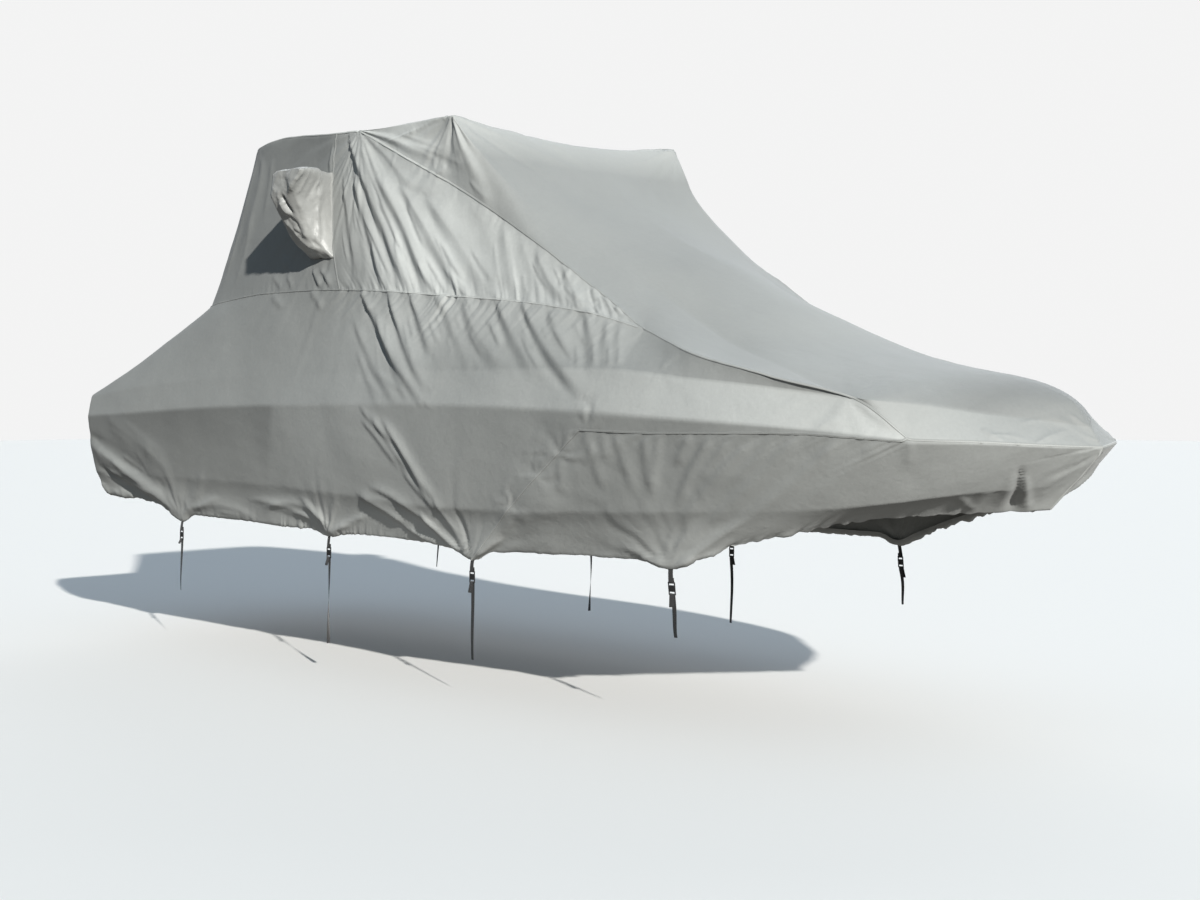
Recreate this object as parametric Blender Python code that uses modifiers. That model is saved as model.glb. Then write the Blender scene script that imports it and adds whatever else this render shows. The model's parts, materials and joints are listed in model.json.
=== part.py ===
"""A fitted storage cover for a tow boat with a tower, as it hangs over the boat on its trailer.

The boat is left out, so the cover is hollow. X runs to the bow, Y to port, Z up. The origin is the
point under the middle of the roof where the boat's tower holds the cover. Every cloth panel is cut
from one common skin, so neighbouring panels share their seams, 0.5 mm apart.
"""

import math

import bmesh
import bpy
import numpy as np
from mathutils import Vector
from mathutils.bvhtree import BVHTree

# Driving dimensions, in metres. The tables give X from the stern and height above the ground.
REST_X = 2.60
REST_HEIGHT = 3.20
CLOTH = 0.0025
SEAM_PULL = 0.00025
MERGE = 0.0001
STARBOARD, PORT = -1, 1

WEB_WIDTH = 0.027
WEB_THICK = 0.0016
WEB_GAP = 0.0004
BUCKLE_WIDTH = 0.040
BUCKLE_HEIGHT = 0.064
BUCKLE_THICK = 0.006
BUCKLE_BAR = 0.005
BUCKLE_WINDOW = 0.011

# The named lines of the skin, each a row of sections: rib, X, half width, height. Ribs count from
# the middle of the stern (0), round the corner (2) and forward to the middle of the bow (17).
RIDGE = (
    (0, 2.00, 0, 3.235), (2, 2.00, 0, 3.235), (4, 2.20, 0, 3.225), (6, 2.50, 0, 3.205),
    (7, 3.00, 0, 3.175), (8, 3.54, 0, 3.150), (8.4, 3.78, 0, 2.950), (9, 4.17, 0, 2.665),
    (10, 4.86, 0, 2.315), (11, 5.35, 0, 2.080), (12, 5.82, 0, 1.865), (13, 6.25, 0, 1.775),
    (14, 6.52, 0, 1.733), (15, 6.74, 0, 1.678), (16, 6.88, 0, 1.610), (17, 6.97, 0, 1.490),
)
SHOULDER = (
    (0, 1.23, 0, 3.250), (1, 1.24, 0.420, 3.255), (1.6, 1.28, 0.635, 3.262), (2, 1.36, 0.742, 3.270),
    (2.5, 1.54, 0.790, 3.283), (3, 1.77, 0.822, 3.290), (4, 2.02, 0.860, 3.272),
    (5, 2.25, 0.895, 3.248), (6, 2.48, 0.920, 3.228), (6.5, 2.70, 0.920, 3.222),
    (7, 3.02, 0.920, 3.213), (7.8, 3.46, 0.922, 3.216), (8, 3.55, 0.920, 3.214), (8.15, 3.63, 0.900, 3.120),
    (8.4, 3.74, 0.850, 2.975), (8.8, 3.95, 0.785, 2.765), (9.1, 4.18, 0.698, 2.570),
    (9.5, 4.42, 0.600, 2.420), (10, 4.82, 0.585, 2.185), (11, 5.37, 0.665, 1.900),
    (12, 5.83, 0.800, 1.765), (13, 6.31, 0.900, 1.625), (14, 6.50, 0.735, 1.598),
    (15, 6.66, 0.530, 1.565), (16, 6.81, 0.300, 1.530), (17, 6.97, 0, 1.490),
)
UPPER_SEAM = (
    (6.5, 2.70, 0.920, 3.222), (7, 3.05, 0.922, 3.061), (8, 3.68, 0.912, 2.761), (9, 4.31, 0.888, 2.404),
    (9.5, 4.67, 0.895, 2.182), (10, 5.08, 0.957, 1.967), (11, 5.54, 1.070, 1.826), (12, 5.93, 1.020, 1.728),
    (13, 6.31, 0.900, 1.625), (14, 6.54, 0.815, 1.440),
)
WAIST = (
    (0, 1.00, 0, 2.215), (1, 1.00, 0.550, 2.220), (1.6, 1.02, 0.810, 2.228), (2, 1.10, 0.935, 2.238),
    (3, 1.47, 1.005, 2.270), (4, 1.86, 1.045, 2.285), (5, 2.28, 1.070, 2.282), (6, 2.72, 1.080, 2.268),
    (7, 3.20, 1.080, 2.235), (8, 3.72, 1.060, 2.187), (9, 4.33, 1.020, 2.123), (9.6, 4.80, 0.985, 2.042),
    (10, 5.08, 0.957, 1.967),
)
GUNWALE = (
    (0, -0.13, 0, 1.680), (1, -0.13, 0.700, 1.675), (1.7, -0.13, 1.090, 1.668), (2, -0.09, 1.160, 1.648),
    (3, 0.55, 1.185, 1.706), (4, 1.17, 1.195, 1.740), (6, 2.40, 1.212, 1.766), (8, 3.70, 1.214, 1.776),
    (9, 4.35, 1.204, 1.776), (10, 5.09, 1.172, 1.765), (11, 5.50, 1.120, 1.724),
    (12, 5.88, 1.030, 1.682), (13, 6.31, 0.900, 1.625),
)
RUB_RAIL = (
    (0, -0.13, 0, 1.500), (1, -0.13, 0.74, 1.500), (1.7, -0.11, 1.13, 1.505), (2, -0.04, 1.220, 1.510),
    (3, 0.55, 1.240, 1.532), (4, 1.10, 1.252, 1.555), (5, 1.70, 1.264, 1.575), (6, 2.35, 1.282, 1.588),
    (8, 3.65, 1.290, 1.594), (9, 4.30, 1.286, 1.582), (10, 5.03, 1.260, 1.552),
    (11, 5.45, 1.210, 1.528), (12, 5.85, 1.115, 1.502), (13, 6.20, 0.995, 1.474),
    (14, 6.54, 0.815, 1.440), (15, 6.74, 0.605, 1.430), (16, 6.91, 0.360, 1.415), (17, 7.03, 0, 1.400),
)
KNUCKLE = (
    (0, -0.10, 0, 1.120), (1, -0.10, 0.71, 1.120), (1.7, -0.07, 1.09, 1.120), (2, 0, 1.175, 1.120),
    (4, 1.05, 1.192, 1.112), (6, 2.18, 1.205, 1.098), (7, 2.77, 1.220, 1.078), (8, 3.30, 1.222, 1.055),
    (9, 3.80, 1.220, 1.036), (10, 4.33, 1.208, 1.036), (11, 4.79, 1.170, 1.055), (12, 5.22, 1.115, 1.070),
    (13, 5.62, 1.020, 1.086), (14, 6.05, 0.860, 1.110), (15, 6.40, 0.660, 1.150), (16, 6.68, 0.390, 1.200),
    (17, 6.89, 0, 1.230),
)
HEM = (
    (0, -0.05, 0, 0.970), (1, -0.05, 0.66, 0.972), (1.7, -0.04, 1.02, 0.976), (2, 0.02, 1.100, 0.980),
    (3, 0.48, 1.100, 0.945), (3.6, 0.80, 1.100, 0.905), (4, 0.99, 1.098, 0.825), (4.3, 1.14, 1.100, 0.872),
    (5, 1.50, 1.100, 0.868), (6, 2.05, 1.100, 0.856), (6.7, 2.45, 1.100, 0.850), (7, 2.63, 1.098, 0.817),
    (7.4, 2.84, 1.100, 0.842), (9, 3.56, 1.090, 0.835), (9.6, 3.78, 1.086, 0.815), (10, 3.91, 1.080, 0.755),
    (10.4, 4.08, 1.072, 0.812), (11, 4.42, 1.052, 0.826), (12, 4.85, 1.015, 0.830), (12.6, 5.10, 0.985, 0.830),
    (13, 5.26, 0.965, 0.795), (13.3, 5.40, 0.940, 0.845), (14, 5.73, 0.850, 0.953), (15, 6.16, 0.620, 1.055),
    (16, 6.48, 0.340, 1.092), (17, 6.77, 0, 1.110),
)
LINES = (RIDGE, SHOULDER, UPPER_SEAM, WAIST, GUNWALE, RUB_RAIL, KNUCKLE, HEM)
LAST_RIB = 17
# Where one line runs along another: line, the line it joins, first and last rib.
JOINS = ((2, 1, 0, 6.5), (2, 5, 14, 17), (3, 2, 10, 17), (4, 2, 13, 17))

# Rows of cells in the strip below each line but the last, and how far each strip swells outwards.
STRIP_ROWS = (3, 2, 5, 3, 1, 3, 2)
STRIP_BELLY = (0, 0, -0.016, -0.012, 0, 0.022, -0.004)
FULL_BELLY_HEIGHT = 0.35
# Columns of cells: first rib, last rib, columns a rib. The pleated stretch is the finest.
COLUMNS = ((0, 4, 3), (4, 6, 4), (6, 10, 8), (10, 17, 4))

# The panels: name, side (0 for both), first and last strip, first and last rib.
PANELS = (
    ("top_panel", 0, 0, 1, 0, 17),
    ("tower_aft", 0, 2, 2, 0, 6),
    ("tower_side", 1, 2, 2, 6, 17),
    ("side", 1, 3, 4, 0, 17),
    ("side", 1, 5, 6, 0, 10),
    ("bow_skirt", 1, 5, 6, 10, 17),
)
# The side pockets stand over an opening in the tower's aft panel: first and last rib, rows.
POCKET_RIBS = (5.25, 6.0)
POCKET_ROWS = (2.2, 2.8)
# Pocket sections, from its root out: half width and height of its top and of its bottom, aft X,
# and the X of its front face at the top and at the bottom.
POCKET_SECTIONS = (
    (1.030, 3.005, 1.085, 2.485, 2.345, 2.510, 2.590),
    (1.100, 2.998, 1.140, 2.545, 2.345, 2.565, 2.600),
    (1.170, 2.990, 1.190, 2.615, 2.345, 2.610, 2.600),
    (1.240, 2.984, 1.245, 2.700, 2.345, 2.640, 2.590),
    (1.300, 2.970, 1.300, 2.800, 2.350, 2.655, 2.575),
)
POCKET_ROUNDING = 0.16
# The seam ahead of the pocket stays upright until it nears the waist, and then runs forward.
SEAM_RIB = 6
SEAM_BEND = 1.5
SEAM_REACH = 1.2

# Main folds: side (0 for both), rib and row of each end, half width, depth (outwards is more).
FOLDS = (
    # Pleats that fan out of the tower's top corner down to the waist and past it.
    (0, 6.15, 2.05, 6.45, 3.50, 0.050, 0.020),
    (0, 6.30, 2.10, 6.90, 3.05, 0.045, -0.022),
    (0, 6.45, 2.10, 7.25, 3.70, 0.055, 0.026),
    (0, 6.60, 2.15, 7.70, 3.10, 0.050, -0.024),
    (0, 6.75, 2.15, 8.10, 3.65, 0.060, 0.026),
    (0, 7.10, 2.20, 8.50, 3.10, 0.055, -0.022),
    (0, 7.50, 2.25, 8.95, 3.60, 0.065, 0.024),
    (0, 8.10, 2.40, 9.35, 3.05, 0.055, -0.018),
    (0, 8.60, 2.35, 9.75, 3.10, 0.050, 0.016),
    # Folds that run from the stern corner down to the first strap.
    (-1, 2.10, 5.15, 4.00, 6.95, 0.070, 0.030),
    (-1, 2.60, 5.05, 3.90, 6.80, 0.055, -0.024),
    (-1, 2.10, 5.70, 3.60, 6.95, 0.055, 0.022),
    (-1, 3.30, 5.10, 4.10, 6.70, 0.060, 0.016),
    (1, 2.25, 5.20, 3.95, 6.90, 0.065, 0.026),
    (1, 2.90, 5.10, 3.95, 6.80, 0.060, -0.020),
    # Pulls above the strap points and the gathers below the rub rail.
    (0, 6.50, 5.60, 7.00, 6.95, 0.060, 0.014),
    (0, 7.60, 5.70, 7.05, 6.90, 0.060, -0.014),
    (0, 9.20, 5.60, 9.95, 6.90, 0.070, 0.018),
    (0, 10.0, 5.20, 10.0, 6.95, 0.055, -0.016),
    (0, 11.2, 5.30, 10.1, 6.85, 0.070, 0.018),
    (0, 11.6, 5.05, 11.2, 6.20, 0.060, 0.018),
    (0, 12.4, 5.20, 12.9, 6.90, 0.060, 0.016),
    (0, 14.2, 5.40, 13.2, 6.90, 0.060, -0.016),
    # The deep fold at the bow, where the winch strap passes, and the folds beside the stem.
    (0, 15.6, 5.60, 15.9, 6.95, 0.050, -0.028),
    (0, 16.1, 5.55, 16.3, 6.95, 0.040, 0.022),
    # The roof sags between its two front corners.
    (0, 8.05, 0.85, 8.80, 0.10, 0.070, -0.016),
    (0, 8.10, 0.95, 10.2, 0.40, 0.080, 0.014),
)

# Straps on each side: rib, drop to the buckle, webbing below it, short tail, lean to the bow.
STRAPS = (
    (4, 0.095, 0.330, 0.030, -0.05),
    (7, 0.105, 0.500, 0.045, -0.02),
    (10, 0.095, 0.410, 0.055, 0.00),
    (13, 0.100, 0.200, 0.060, 0.10),
)
STRAP_LAP = 0.035
STRAP_TURN_BACK = 0.030
STRAP_CLEAR = 0.012
STRAP_STRAIGHT = 0.006
STRAP_SWAY_OUT = 0.006
STRAP_SWAY_ALONG = 0.004
LAP_FITS = 6

FABRIC = (0.45, 0.47, 0.45, 1)
DARK_FABRIC = (0.17, 0.18, 0.19, 1)
SILVER_FABRIC = (0.62, 0.63, 0.60, 1)
BLACK_WEB = (0.012, 0.012, 0.013, 1)
BLACK_PLASTIC = (0.010, 0.010, 0.011, 1)


def clear_scene():
    for item in list(bpy.data.objects):
        bpy.data.objects.remove(item, do_unlink=True)


def collection(name):
    made = bpy.data.collections.new(name)
    bpy.context.scene.collection.children.link(made)
    return made


def material(name, colour, roughness):
    made = bpy.data.materials.new(name)
    made.use_nodes = True
    made.diffuse_color = colour
    shader = made.node_tree.nodes["Principled BSDF"]
    shader.inputs["Base Color"].default_value = colour
    shader.inputs["Roughness"].default_value = roughness
    shader.inputs["Metallic"].default_value = 0
    return made


def add_object(name, mesh, group, look):
    """A new object that holds a finished bmesh."""
    data = bpy.data.meshes.new(name)
    mesh.to_mesh(data)
    mesh.free()
    data.shade_smooth()
    data.set_sharp_from_angle(angle=math.radians(35))
    data.materials.append(look)
    made = bpy.data.objects.new(name, data)
    group.objects.link(made)
    return made


def curve_through(rows):
    """The ribs, points and slopes of a curve through a line's rows that never swings past them."""
    table = np.array(rows, float)
    at, points = table[:, 0], table[:, 1:]
    rise = np.diff(points, axis=0) / np.diff(at)[:, None]
    before, after = rise[:-1], rise[1:]
    same_way = before * after > 0
    total = np.where(same_way, before + after, 1)
    middle = np.where(same_way, 2 * before * after / total, 0)
    return at, points, np.vstack([rise[:1], middle, rise[-1:]])


CURVES = tuple(curve_through(rows) for rows in LINES)


def line_point(line, rib):
    """The X, half width and height of a named line at a rib."""
    for joined, other, first, last in JOINS:
        if line == joined and first <= rib <= last:
            return line_point(other, rib)
    at, points, slopes = CURVES[line]
    k = int(np.clip(np.searchsorted(at, rib, side="right") - 1, 0, len(at) - 2))
    width = at[k + 1] - at[k]
    t = (rib - at[k]) / width
    start = points[k] * (2 * t**3 - 3 * t**2 + 1) + slopes[k] * width * (t**3 - 2 * t**2 + t)
    end = points[k + 1] * (3 * t**2 - 2 * t**3) + slopes[k + 1] * width * (t**3 - t**2)
    return start + end


def skin_point(rib, row, side):
    """A point of the smooth skin: row 0 is the ridge, row 1 the shoulder, and so on to the hem."""
    strip = min(int(row), len(LINES) - 2)
    share = row - strip
    upper, lower = line_point(strip, rib), line_point(strip + 1, rib)
    point = upper + (lower - upper) * share
    if strip == 0:
        point[2] = upper[2] + (lower[2] - upper[2]) * share**2
    if strip == 2:
        bend = 1 + SEAM_BEND * math.exp(-(((rib - SEAM_RIB) / SEAM_REACH) ** 2))
        point[0] = upper[0] + (lower[0] - upper[0]) * share**bend
    return Vector((point[0] - REST_X, side * point[1], point[2] - REST_HEIGHT))


def belly(rib, row):
    """How far a strip swells outwards here: nothing on its lines, and nothing where it has closed up."""
    strip = min(int(row), len(LINES) - 2)
    share = row - strip
    height = np.linalg.norm(line_point(strip + 1, rib) - line_point(strip, rib))
    return STRIP_BELLY[strip] * 4 * share * (1 - share) * min(1, height / FULL_BELLY_HEIGHT)


def column_ribs():
    """The rib of every column of cells on one side, from the stern to the bow."""
    ribs = [0.0]
    for first, last, count in COLUMNS:
        steps = (last - first) * count
        ribs += [first + (last - first) * (k + 1) / steps for k in range(steps)]
    return ribs


def row_heights():
    rows = [0.0]
    for strip, count in enumerate(STRIP_ROWS):
        rows += [strip + (k + 1) / count for k in range(count)]
    return rows


def panel_of(side, rib, row):
    """The name of the panel that a cell with this middle belongs to."""
    for name, sided, first_strip, last_strip, first_rib, last_rib in PANELS:
        if first_strip <= row < last_strip + 1 and first_rib <= rib < last_rib:
            if sided:
                name += "_stbd" if side == STARBOARD else "_port"
            return name
    return None


def in_pocket(rib, row):
    return POCKET_RIBS[0] < rib < POCKET_RIBS[1] and POCKET_ROWS[0] < row < POCKET_ROWS[1]


def fold_lines(side):
    """The main folds of one side: where each starts, how it runs, its half width and its depth."""
    lines = []
    for fold_side, rib_a, row_a, rib_b, row_b, width, depth in FOLDS:
        if fold_side in (0, side):
            start = skin_point(rib_a, row_a, side)
            lines.append((start, skin_point(rib_b, row_b, side) - start, width, depth))
    return lines


def fold_push(place, lines):
    """How far the folds move a point of the skin along its normal."""
    push = 0.0
    for start, run, width, depth in lines:
        along = min(max((place - start).dot(run) / run.length_squared, 0), 1)
        away = (place - start - run * along).length / width
        if away < 2.5:
            fade = min(1, 4 * along, 5 * (1 - along) + 0.25)
            push += depth * fade * math.exp(-away * away)
    return push


def cover_skin():
    """The whole cover as one sheet. Its columns run from the bow's port side round the stern."""
    ribs, rows = column_ribs(), row_heights()
    wide, high = len(ribs) - 1, len(rows) - 1
    mesh = bmesh.new()
    bmesh.ops.create_grid(mesh, x_segments=2 * wide, y_segments=high, size=1)
    tag = mesh.faces.layers.int.new("panel")
    hole = mesh.faces.layers.int.new("pocket")
    side_of = mesh.verts.layers.int.new("side")
    rib_of = mesh.verts.layers.float.new("rib")
    row_of = mesh.verts.layers.float.new("row")
    names = []
    for face in mesh.faces:
        centre = face.calc_center_median()
        side = PORT if centre.x < 0 else STARBOARD
        column = int(abs(centre.x) * wide)
        line = int((1 - centre.y) / 2 * high)
        rib = (ribs[column] + ribs[column + 1]) / 2
        row = (rows[line] + rows[line + 1]) / 2
        name = panel_of(side, rib, row)
        if name not in names:
            names.append(name)
        face[tag] = names.index(name)
        face[hole] = side if in_pocket(rib, row) else 0
    for vertex in mesh.verts:
        column = round(vertex.co.x * wide)
        vertex[side_of] = PORT if column < 0 else STARBOARD
        vertex[rib_of] = ribs[abs(column)]
        vertex[row_of] = rows[round((1 - vertex.co.y) / 2 * high)]
        vertex.co = skin_point(vertex[rib_of], vertex[row_of], vertex[side_of])
    bmesh.ops.remove_doubles(mesh, verts=mesh.verts, dist=MERGE)
    mesh.normal_update()
    folds = {side: fold_lines(side) for side in (STARBOARD, PORT)}
    pushed = {}
    for vertex in mesh.verts:
        push = fold_push(vertex.co, folds[vertex[side_of]]) + belly(vertex[rib_of], vertex[row_of])
        pushed[vertex] = vertex.co + vertex.normal * push
        if abs(vertex.co.y) < MERGE:
            pushed[vertex].y = 0
    for vertex, place in pushed.items():
        vertex.co = place
    mesh.normal_update()
    return mesh, names


def panel_solid(skin, name, number, group, look):
    """One panel of the skin: its own cells, drawn in at the seams and given the cloth's thickness."""
    mesh = skin.copy()
    tag = mesh.faces.layers.int["panel"]
    hole = mesh.faces.layers.int["pocket"]
    normals = mesh.verts.layers.float_vector.new("inwards")
    for vertex in mesh.verts:
        vertex[normals] = -vertex.normal
    others = [face for face in mesh.faces if face[tag] != number or face[hole]]
    bmesh.ops.delete(mesh, geom=others, context="FACES")
    pulled = {}
    for vertex in mesh.verts:
        if vertex.is_boundary:
            middle = sum((face.calc_center_median() for face in vertex.link_faces), Vector())
            inwards = (middle / len(vertex.link_faces) - vertex.co).normalized()
            pulled[vertex] = vertex.co + inwards * SEAM_PULL
    for vertex, place in pulled.items():
        vertex.co = place
    outer = list(mesh.faces)
    made = bmesh.ops.extrude_face_region(mesh, geom=outer, use_keep_orig=True)
    inner = [item for item in made["geom"] if isinstance(item, bmesh.types.BMVert)]
    for vertex in inner:
        vertex.co += Vector(vertex[normals]).normalized() * CLOTH
    mesh.normal_update()
    bmesh.ops.recalc_face_normals(mesh, faces=mesh.faces)
    bmesh.ops.triangulate(mesh, faces=mesh.faces)
    return add_object(name, mesh, group, look)


def pocket_place(section, across, down, side):
    """A point of one ring of a pocket: across runs from aft to fore and down from its top, 0 to 1."""
    half_top, top, half_bottom, bottom, aft, fore_top, fore_bottom = section
    if across in (0, 1) and down in (0, 1):
        across += (0.5 - across) * POCKET_ROUNDING
        down += (0.5 - down) * POCKET_ROUNDING
    half = half_top + (half_bottom - half_top) * down
    fore = fore_top + (fore_bottom - fore_top) * down
    x = aft + (fore - aft) * across
    return Vector((x - REST_X, side * half, top + (bottom - top) * down - REST_HEIGHT))


def rim_of_pocket(skin, side):
    """The corners round a pocket's opening, in order: the drawn-in point, and its share across and down."""
    layers = skin.verts.layers
    rib_of, row_of = layers.float["rib"], layers.float["row"]
    hole = skin.faces.layers.int["pocket"]
    inside = [face for face in skin.faces if face[hole] == side]
    edges = {edge for face in inside for edge in face.edges}
    rim = [edge for edge in edges if sum(face[hole] == side for face in edge.link_faces) == 1]
    middle = sum((face.calc_center_median() for face in inside), Vector()) / len(inside)
    found = []
    for vertex in {vertex for edge in rim for vertex in edge.verts}:
        across = (vertex[rib_of] - POCKET_RIBS[0]) / (POCKET_RIBS[1] - POCKET_RIBS[0])
        down = (vertex[row_of] - POCKET_ROWS[0]) / (POCKET_ROWS[1] - POCKET_ROWS[0])
        across, down = round(across, 3), round(down, 3)
        place = vertex.co + (middle - vertex.co).normalized() * 3 * SEAM_PULL
        found.append((math.atan2(0.5 - down, across - 0.5), place, across, down))
    found.sort(key=lambda item: item[0])
    return [item[1:] for item in found]


def pocket(skin, side, group, look):
    """A bag that stands out of the tower's side, open to the inside at its root."""
    rim = rim_of_pocket(skin, side)
    rings = [[place for place, across, down in rim]]
    for section in POCKET_SECTIONS:
        rings.append([pocket_place(section, across, down, side) for place, across, down in rim])
    mesh = bmesh.new()
    around, along = len(rim), len(rings) - 1
    bmesh.ops.create_grid(mesh, x_segments=around, y_segments=along, size=1)
    for vertex in mesh.verts:
        k = round((vertex.co.x + 1) / 2 * around) % around
        ring = round((vertex.co.y + 1) / 2 * along)
        vertex.co = rings[ring][k]
    bmesh.ops.remove_doubles(mesh, verts=mesh.verts, dist=MERGE)
    out_there = POCKET_SECTIONS[-2][0]
    end = [e for e in mesh.edges if e.is_boundary and min(abs(v.co.y) for v in e.verts) > out_there]
    bmesh.ops.holes_fill(mesh, edges=end, sides=around)
    mesh.normal_update()
    bmesh.ops.recalc_face_normals(mesh, faces=mesh.faces)
    cap = max(mesh.faces, key=lambda face: abs(face.calc_center_median().y))
    if cap.normal.y * side < 0:
        bmesh.ops.reverse_faces(mesh, faces=mesh.faces)
    bmesh.ops.triangulate(mesh, faces=mesh.faces)
    made = add_object("pocket_stbd" if side == STARBOARD else "pocket_port", mesh, group, look)
    shell = made.modifiers.new("cloth", "SOLIDIFY")
    shell.thickness = CLOTH
    shell.offset = -1
    return made


def ribbon(name, path, across, group, look):
    """Flat webbing along a path, one box section wide, as a strip with Solidify."""
    mesh = bmesh.new()
    bmesh.ops.create_grid(mesh, x_segments=1, y_segments=len(path) - 1, size=1)
    for vertex in mesh.verts:
        k = round((vertex.co.y + 1) / 2 * (len(path) - 1))
        vertex.co = path[k] + across * (vertex.co.x * WEB_WIDTH / 2)
    mesh.normal_update()
    made = add_object(name, mesh, group, look)
    shell = made.modifiers.new("webbing", "SOLIDIFY")
    shell.thickness = WEB_THICK
    shell.offset = 0
    return made


def turn_round_bar(bar, out, down, turn):
    """The path of webbing round a buckle's bar, from the front to the back."""
    radius = math.hypot(BUCKLE_THICK, BUCKLE_BAR) / 2 + WEB_GAP + WEB_THICK / 2
    points = []
    for k in range(7):
        angle = math.pi * k / 6
        points.append(bar + out * radius * math.cos(angle) + down * turn * radius * math.sin(angle))
    return points


def buckle(name, centre, out, down, across, group, cutters, look):
    """A flat buckle with a window at each end, behind the bar that the webbing turns round."""
    mesh = bmesh.new()
    bmesh.ops.create_cube(mesh, size=1)
    for vertex in mesh.verts:
        x, y, z = vertex.co
        vertex.co = centre + across * x * BUCKLE_WIDTH + out * y * BUCKLE_THICK + down * z * BUCKLE_HEIGHT
    mesh.normal_update()
    bmesh.ops.recalc_face_normals(mesh, faces=mesh.faces)
    made = add_object(name, mesh, group, look)
    for end in (-1, 1):
        window = bmesh.new()
        bmesh.ops.create_cube(window, size=1)
        middle = end * (BUCKLE_HEIGHT / 2 - BUCKLE_BAR - BUCKLE_WINDOW / 2)
        for vertex in window.verts:
            x, y, z = vertex.co
            place = centre + across * x * (BUCKLE_WIDTH - 2 * BUCKLE_BAR) + out * y * BUCKLE_THICK * 2
            vertex.co = place + down * (middle + z * BUCKLE_WINDOW)
        window.normal_update()
        bmesh.ops.recalc_face_normals(window, faces=window.faces)
        cutter = add_object(f"{name}_window_{end}", window, cutters, look)
        cutter.hide_render = True
        cutter.display_type = "WIRE"
        cut = made.modifiers.new("window", "BOOLEAN")
        cut.object = cutter
    return made


def corner(skin, side, rib, row):
    """The skin's corner at a rib and row, after the folds."""
    layers = skin.verts.layers
    side_of, rib_of, row_of = layers.int["side"], layers.float["rib"], layers.float["row"]

    def off(vertex):
        return abs(vertex[rib_of] - rib) + abs(vertex[row_of] - row) + abs(vertex[side_of] - side)

    return min(skin.verts, key=off)


def cloth_tree(panels):
    """The surfaces of all the panels, for the webbing that lies against them."""
    places = []
    cells = []
    for panel in panels:
        first = len(places)
        places += [vertex.co for vertex in panel.data.vertices]
        cells += [[first + k for k in cell.vertices] for cell in panel.data.polygons]
    return BVHTree.FromPolygons(places, cells)


def cloth_depth(tree, place, inwards):
    """How far inwards of a place the cloth's inner face lies, and nothing past its edge."""
    reach = 0.1
    distance = tree.ray_cast(place + inwards * reach, -inwards, 2 * reach)[3]
    return 0 if distance is None else reach - distance


def strap(skin, tree, side, number, row, group, cutters, web_look, buckle_look):
    """One strap: webbing sewn inside the hem, its buckle and the webbing that hangs below it."""
    rib, drop, hang, tail, lean = row
    at_hem = corner(skin, side, rib, len(LINES) - 1)
    hem = at_hem.co.copy()
    above = corner(skin, side, rib, len(LINES) - 1.5).co
    near = skin_point(rib + 0.1, len(LINES) - 1, side) - skin_point(rib - 0.1, len(LINES) - 1, side)
    across = Vector((near.x, near.y, 0)).normalized()
    out = Vector((across.y, -across.x, 0))
    if out.y * side < 0:
        out.negate()
    down = (Vector((0, 0, -1)) + across * lean).normalized()
    up_cloth = (above - hem).normalized()
    inwards = up_cloth.cross(across).normalized()
    if inwards.dot(out) > 0:
        inwards.negate()
    heights = [STRAP_LAP * share for share in (0, 0.1, 0.25, 0.4, 0.55, 0.7, 0.85, 1)]
    shifts = [WEB_WIDTH * share for share in (-0.5, -0.25, 0, 0.25, 0.5)]
    edges = [hem + up_cloth * high + across * shift for high in heights for shift in shifts]
    beside = WEB_GAP + WEB_THICK / 2
    depth = beside + max(cloth_depth(tree, place, inwards) for place in edges)
    for _ in range(LAP_FITS):
        nearest = min(tree.find_nearest(place + inwards * depth)[3] for place in edges)
        depth += beside - nearest
    lap = inwards * depth
    centre = hem + down * drop - out * CLOTH
    reach = BUCKLE_HEIGHT / 2 - BUCKLE_BAR / 2

    top_bar = centre - down * reach
    upper = [hem + up_cloth * STRAP_LAP + lap, hem + lap, hem + lap + down * STRAP_CLEAR]
    bend = turn_round_bar(top_bar, out, down, 1)
    upper += [bend[0] - down * STRAP_STRAIGHT] + bend
    upper.append(bend[-1] - down * STRAP_STRAIGHT)
    last = upper[-1] + (bend[0] - bend[-1]) * 0.30 - down * (STRAP_TURN_BACK - STRAP_STRAIGHT)
    upper.append(last)

    low_bar = centre + down * reach
    loop = turn_round_bar(low_bar, out, down, -1)
    free_end = loop[0] + down * (tail + STRAP_STRAIGHT) + out * STRAP_CLEAR
    lower = [free_end, loop[0] + down * STRAP_STRAIGHT] + loop
    lower.append(loop[-1] + down * STRAP_CLEAR)
    for k in range(1, 6):
        share = k / 5
        sway = out * STRAP_SWAY_OUT * math.sin(3 * share)
        sway += across * STRAP_SWAY_ALONG * math.sin(5 * share)
        lower.append(loop[-1] + down * (STRAP_CLEAR + hang * share) + sway)
    label = f"strap_{'s' if side == STARBOARD else 'p'}{number}"
    ribbon(label + "_web", upper, across, group, web_look)
    buckle(label + "_buckle", centre, out, down, across, group, cutters, buckle_look)
    ribbon(label + "_tail", lower, across, group, web_look)


def main():
    clear_scene()
    cover = collection("boat_cover")
    cutters = collection("cutters")
    cutters.hide_render = True
    fabric = material("cover_cloth", FABRIC, 0.6)
    dark = material("tower_aft_cloth", DARK_FABRIC, 0.6)
    silver = material("pocket_cloth", SILVER_FABRIC, 0.4)
    web = material("black_webbing", BLACK_WEB, 0.8)
    plastic = material("black_plastic", BLACK_PLASTIC, 0.4)
    skin, names = cover_skin()
    panels = []
    for number, name in enumerate(names):
        look = dark if name == "tower_aft" else fabric
        panels.append(panel_solid(skin, name, number, cover, look))
    tree = cloth_tree(panels)
    for side in (STARBOARD, PORT):
        pocket(skin, side, cover, silver)
        for number, row in enumerate(STRAPS, 1):
            strap(skin, tree, side, number, row, cover, cutters, web, plastic)
    skin.free()


main()
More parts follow.
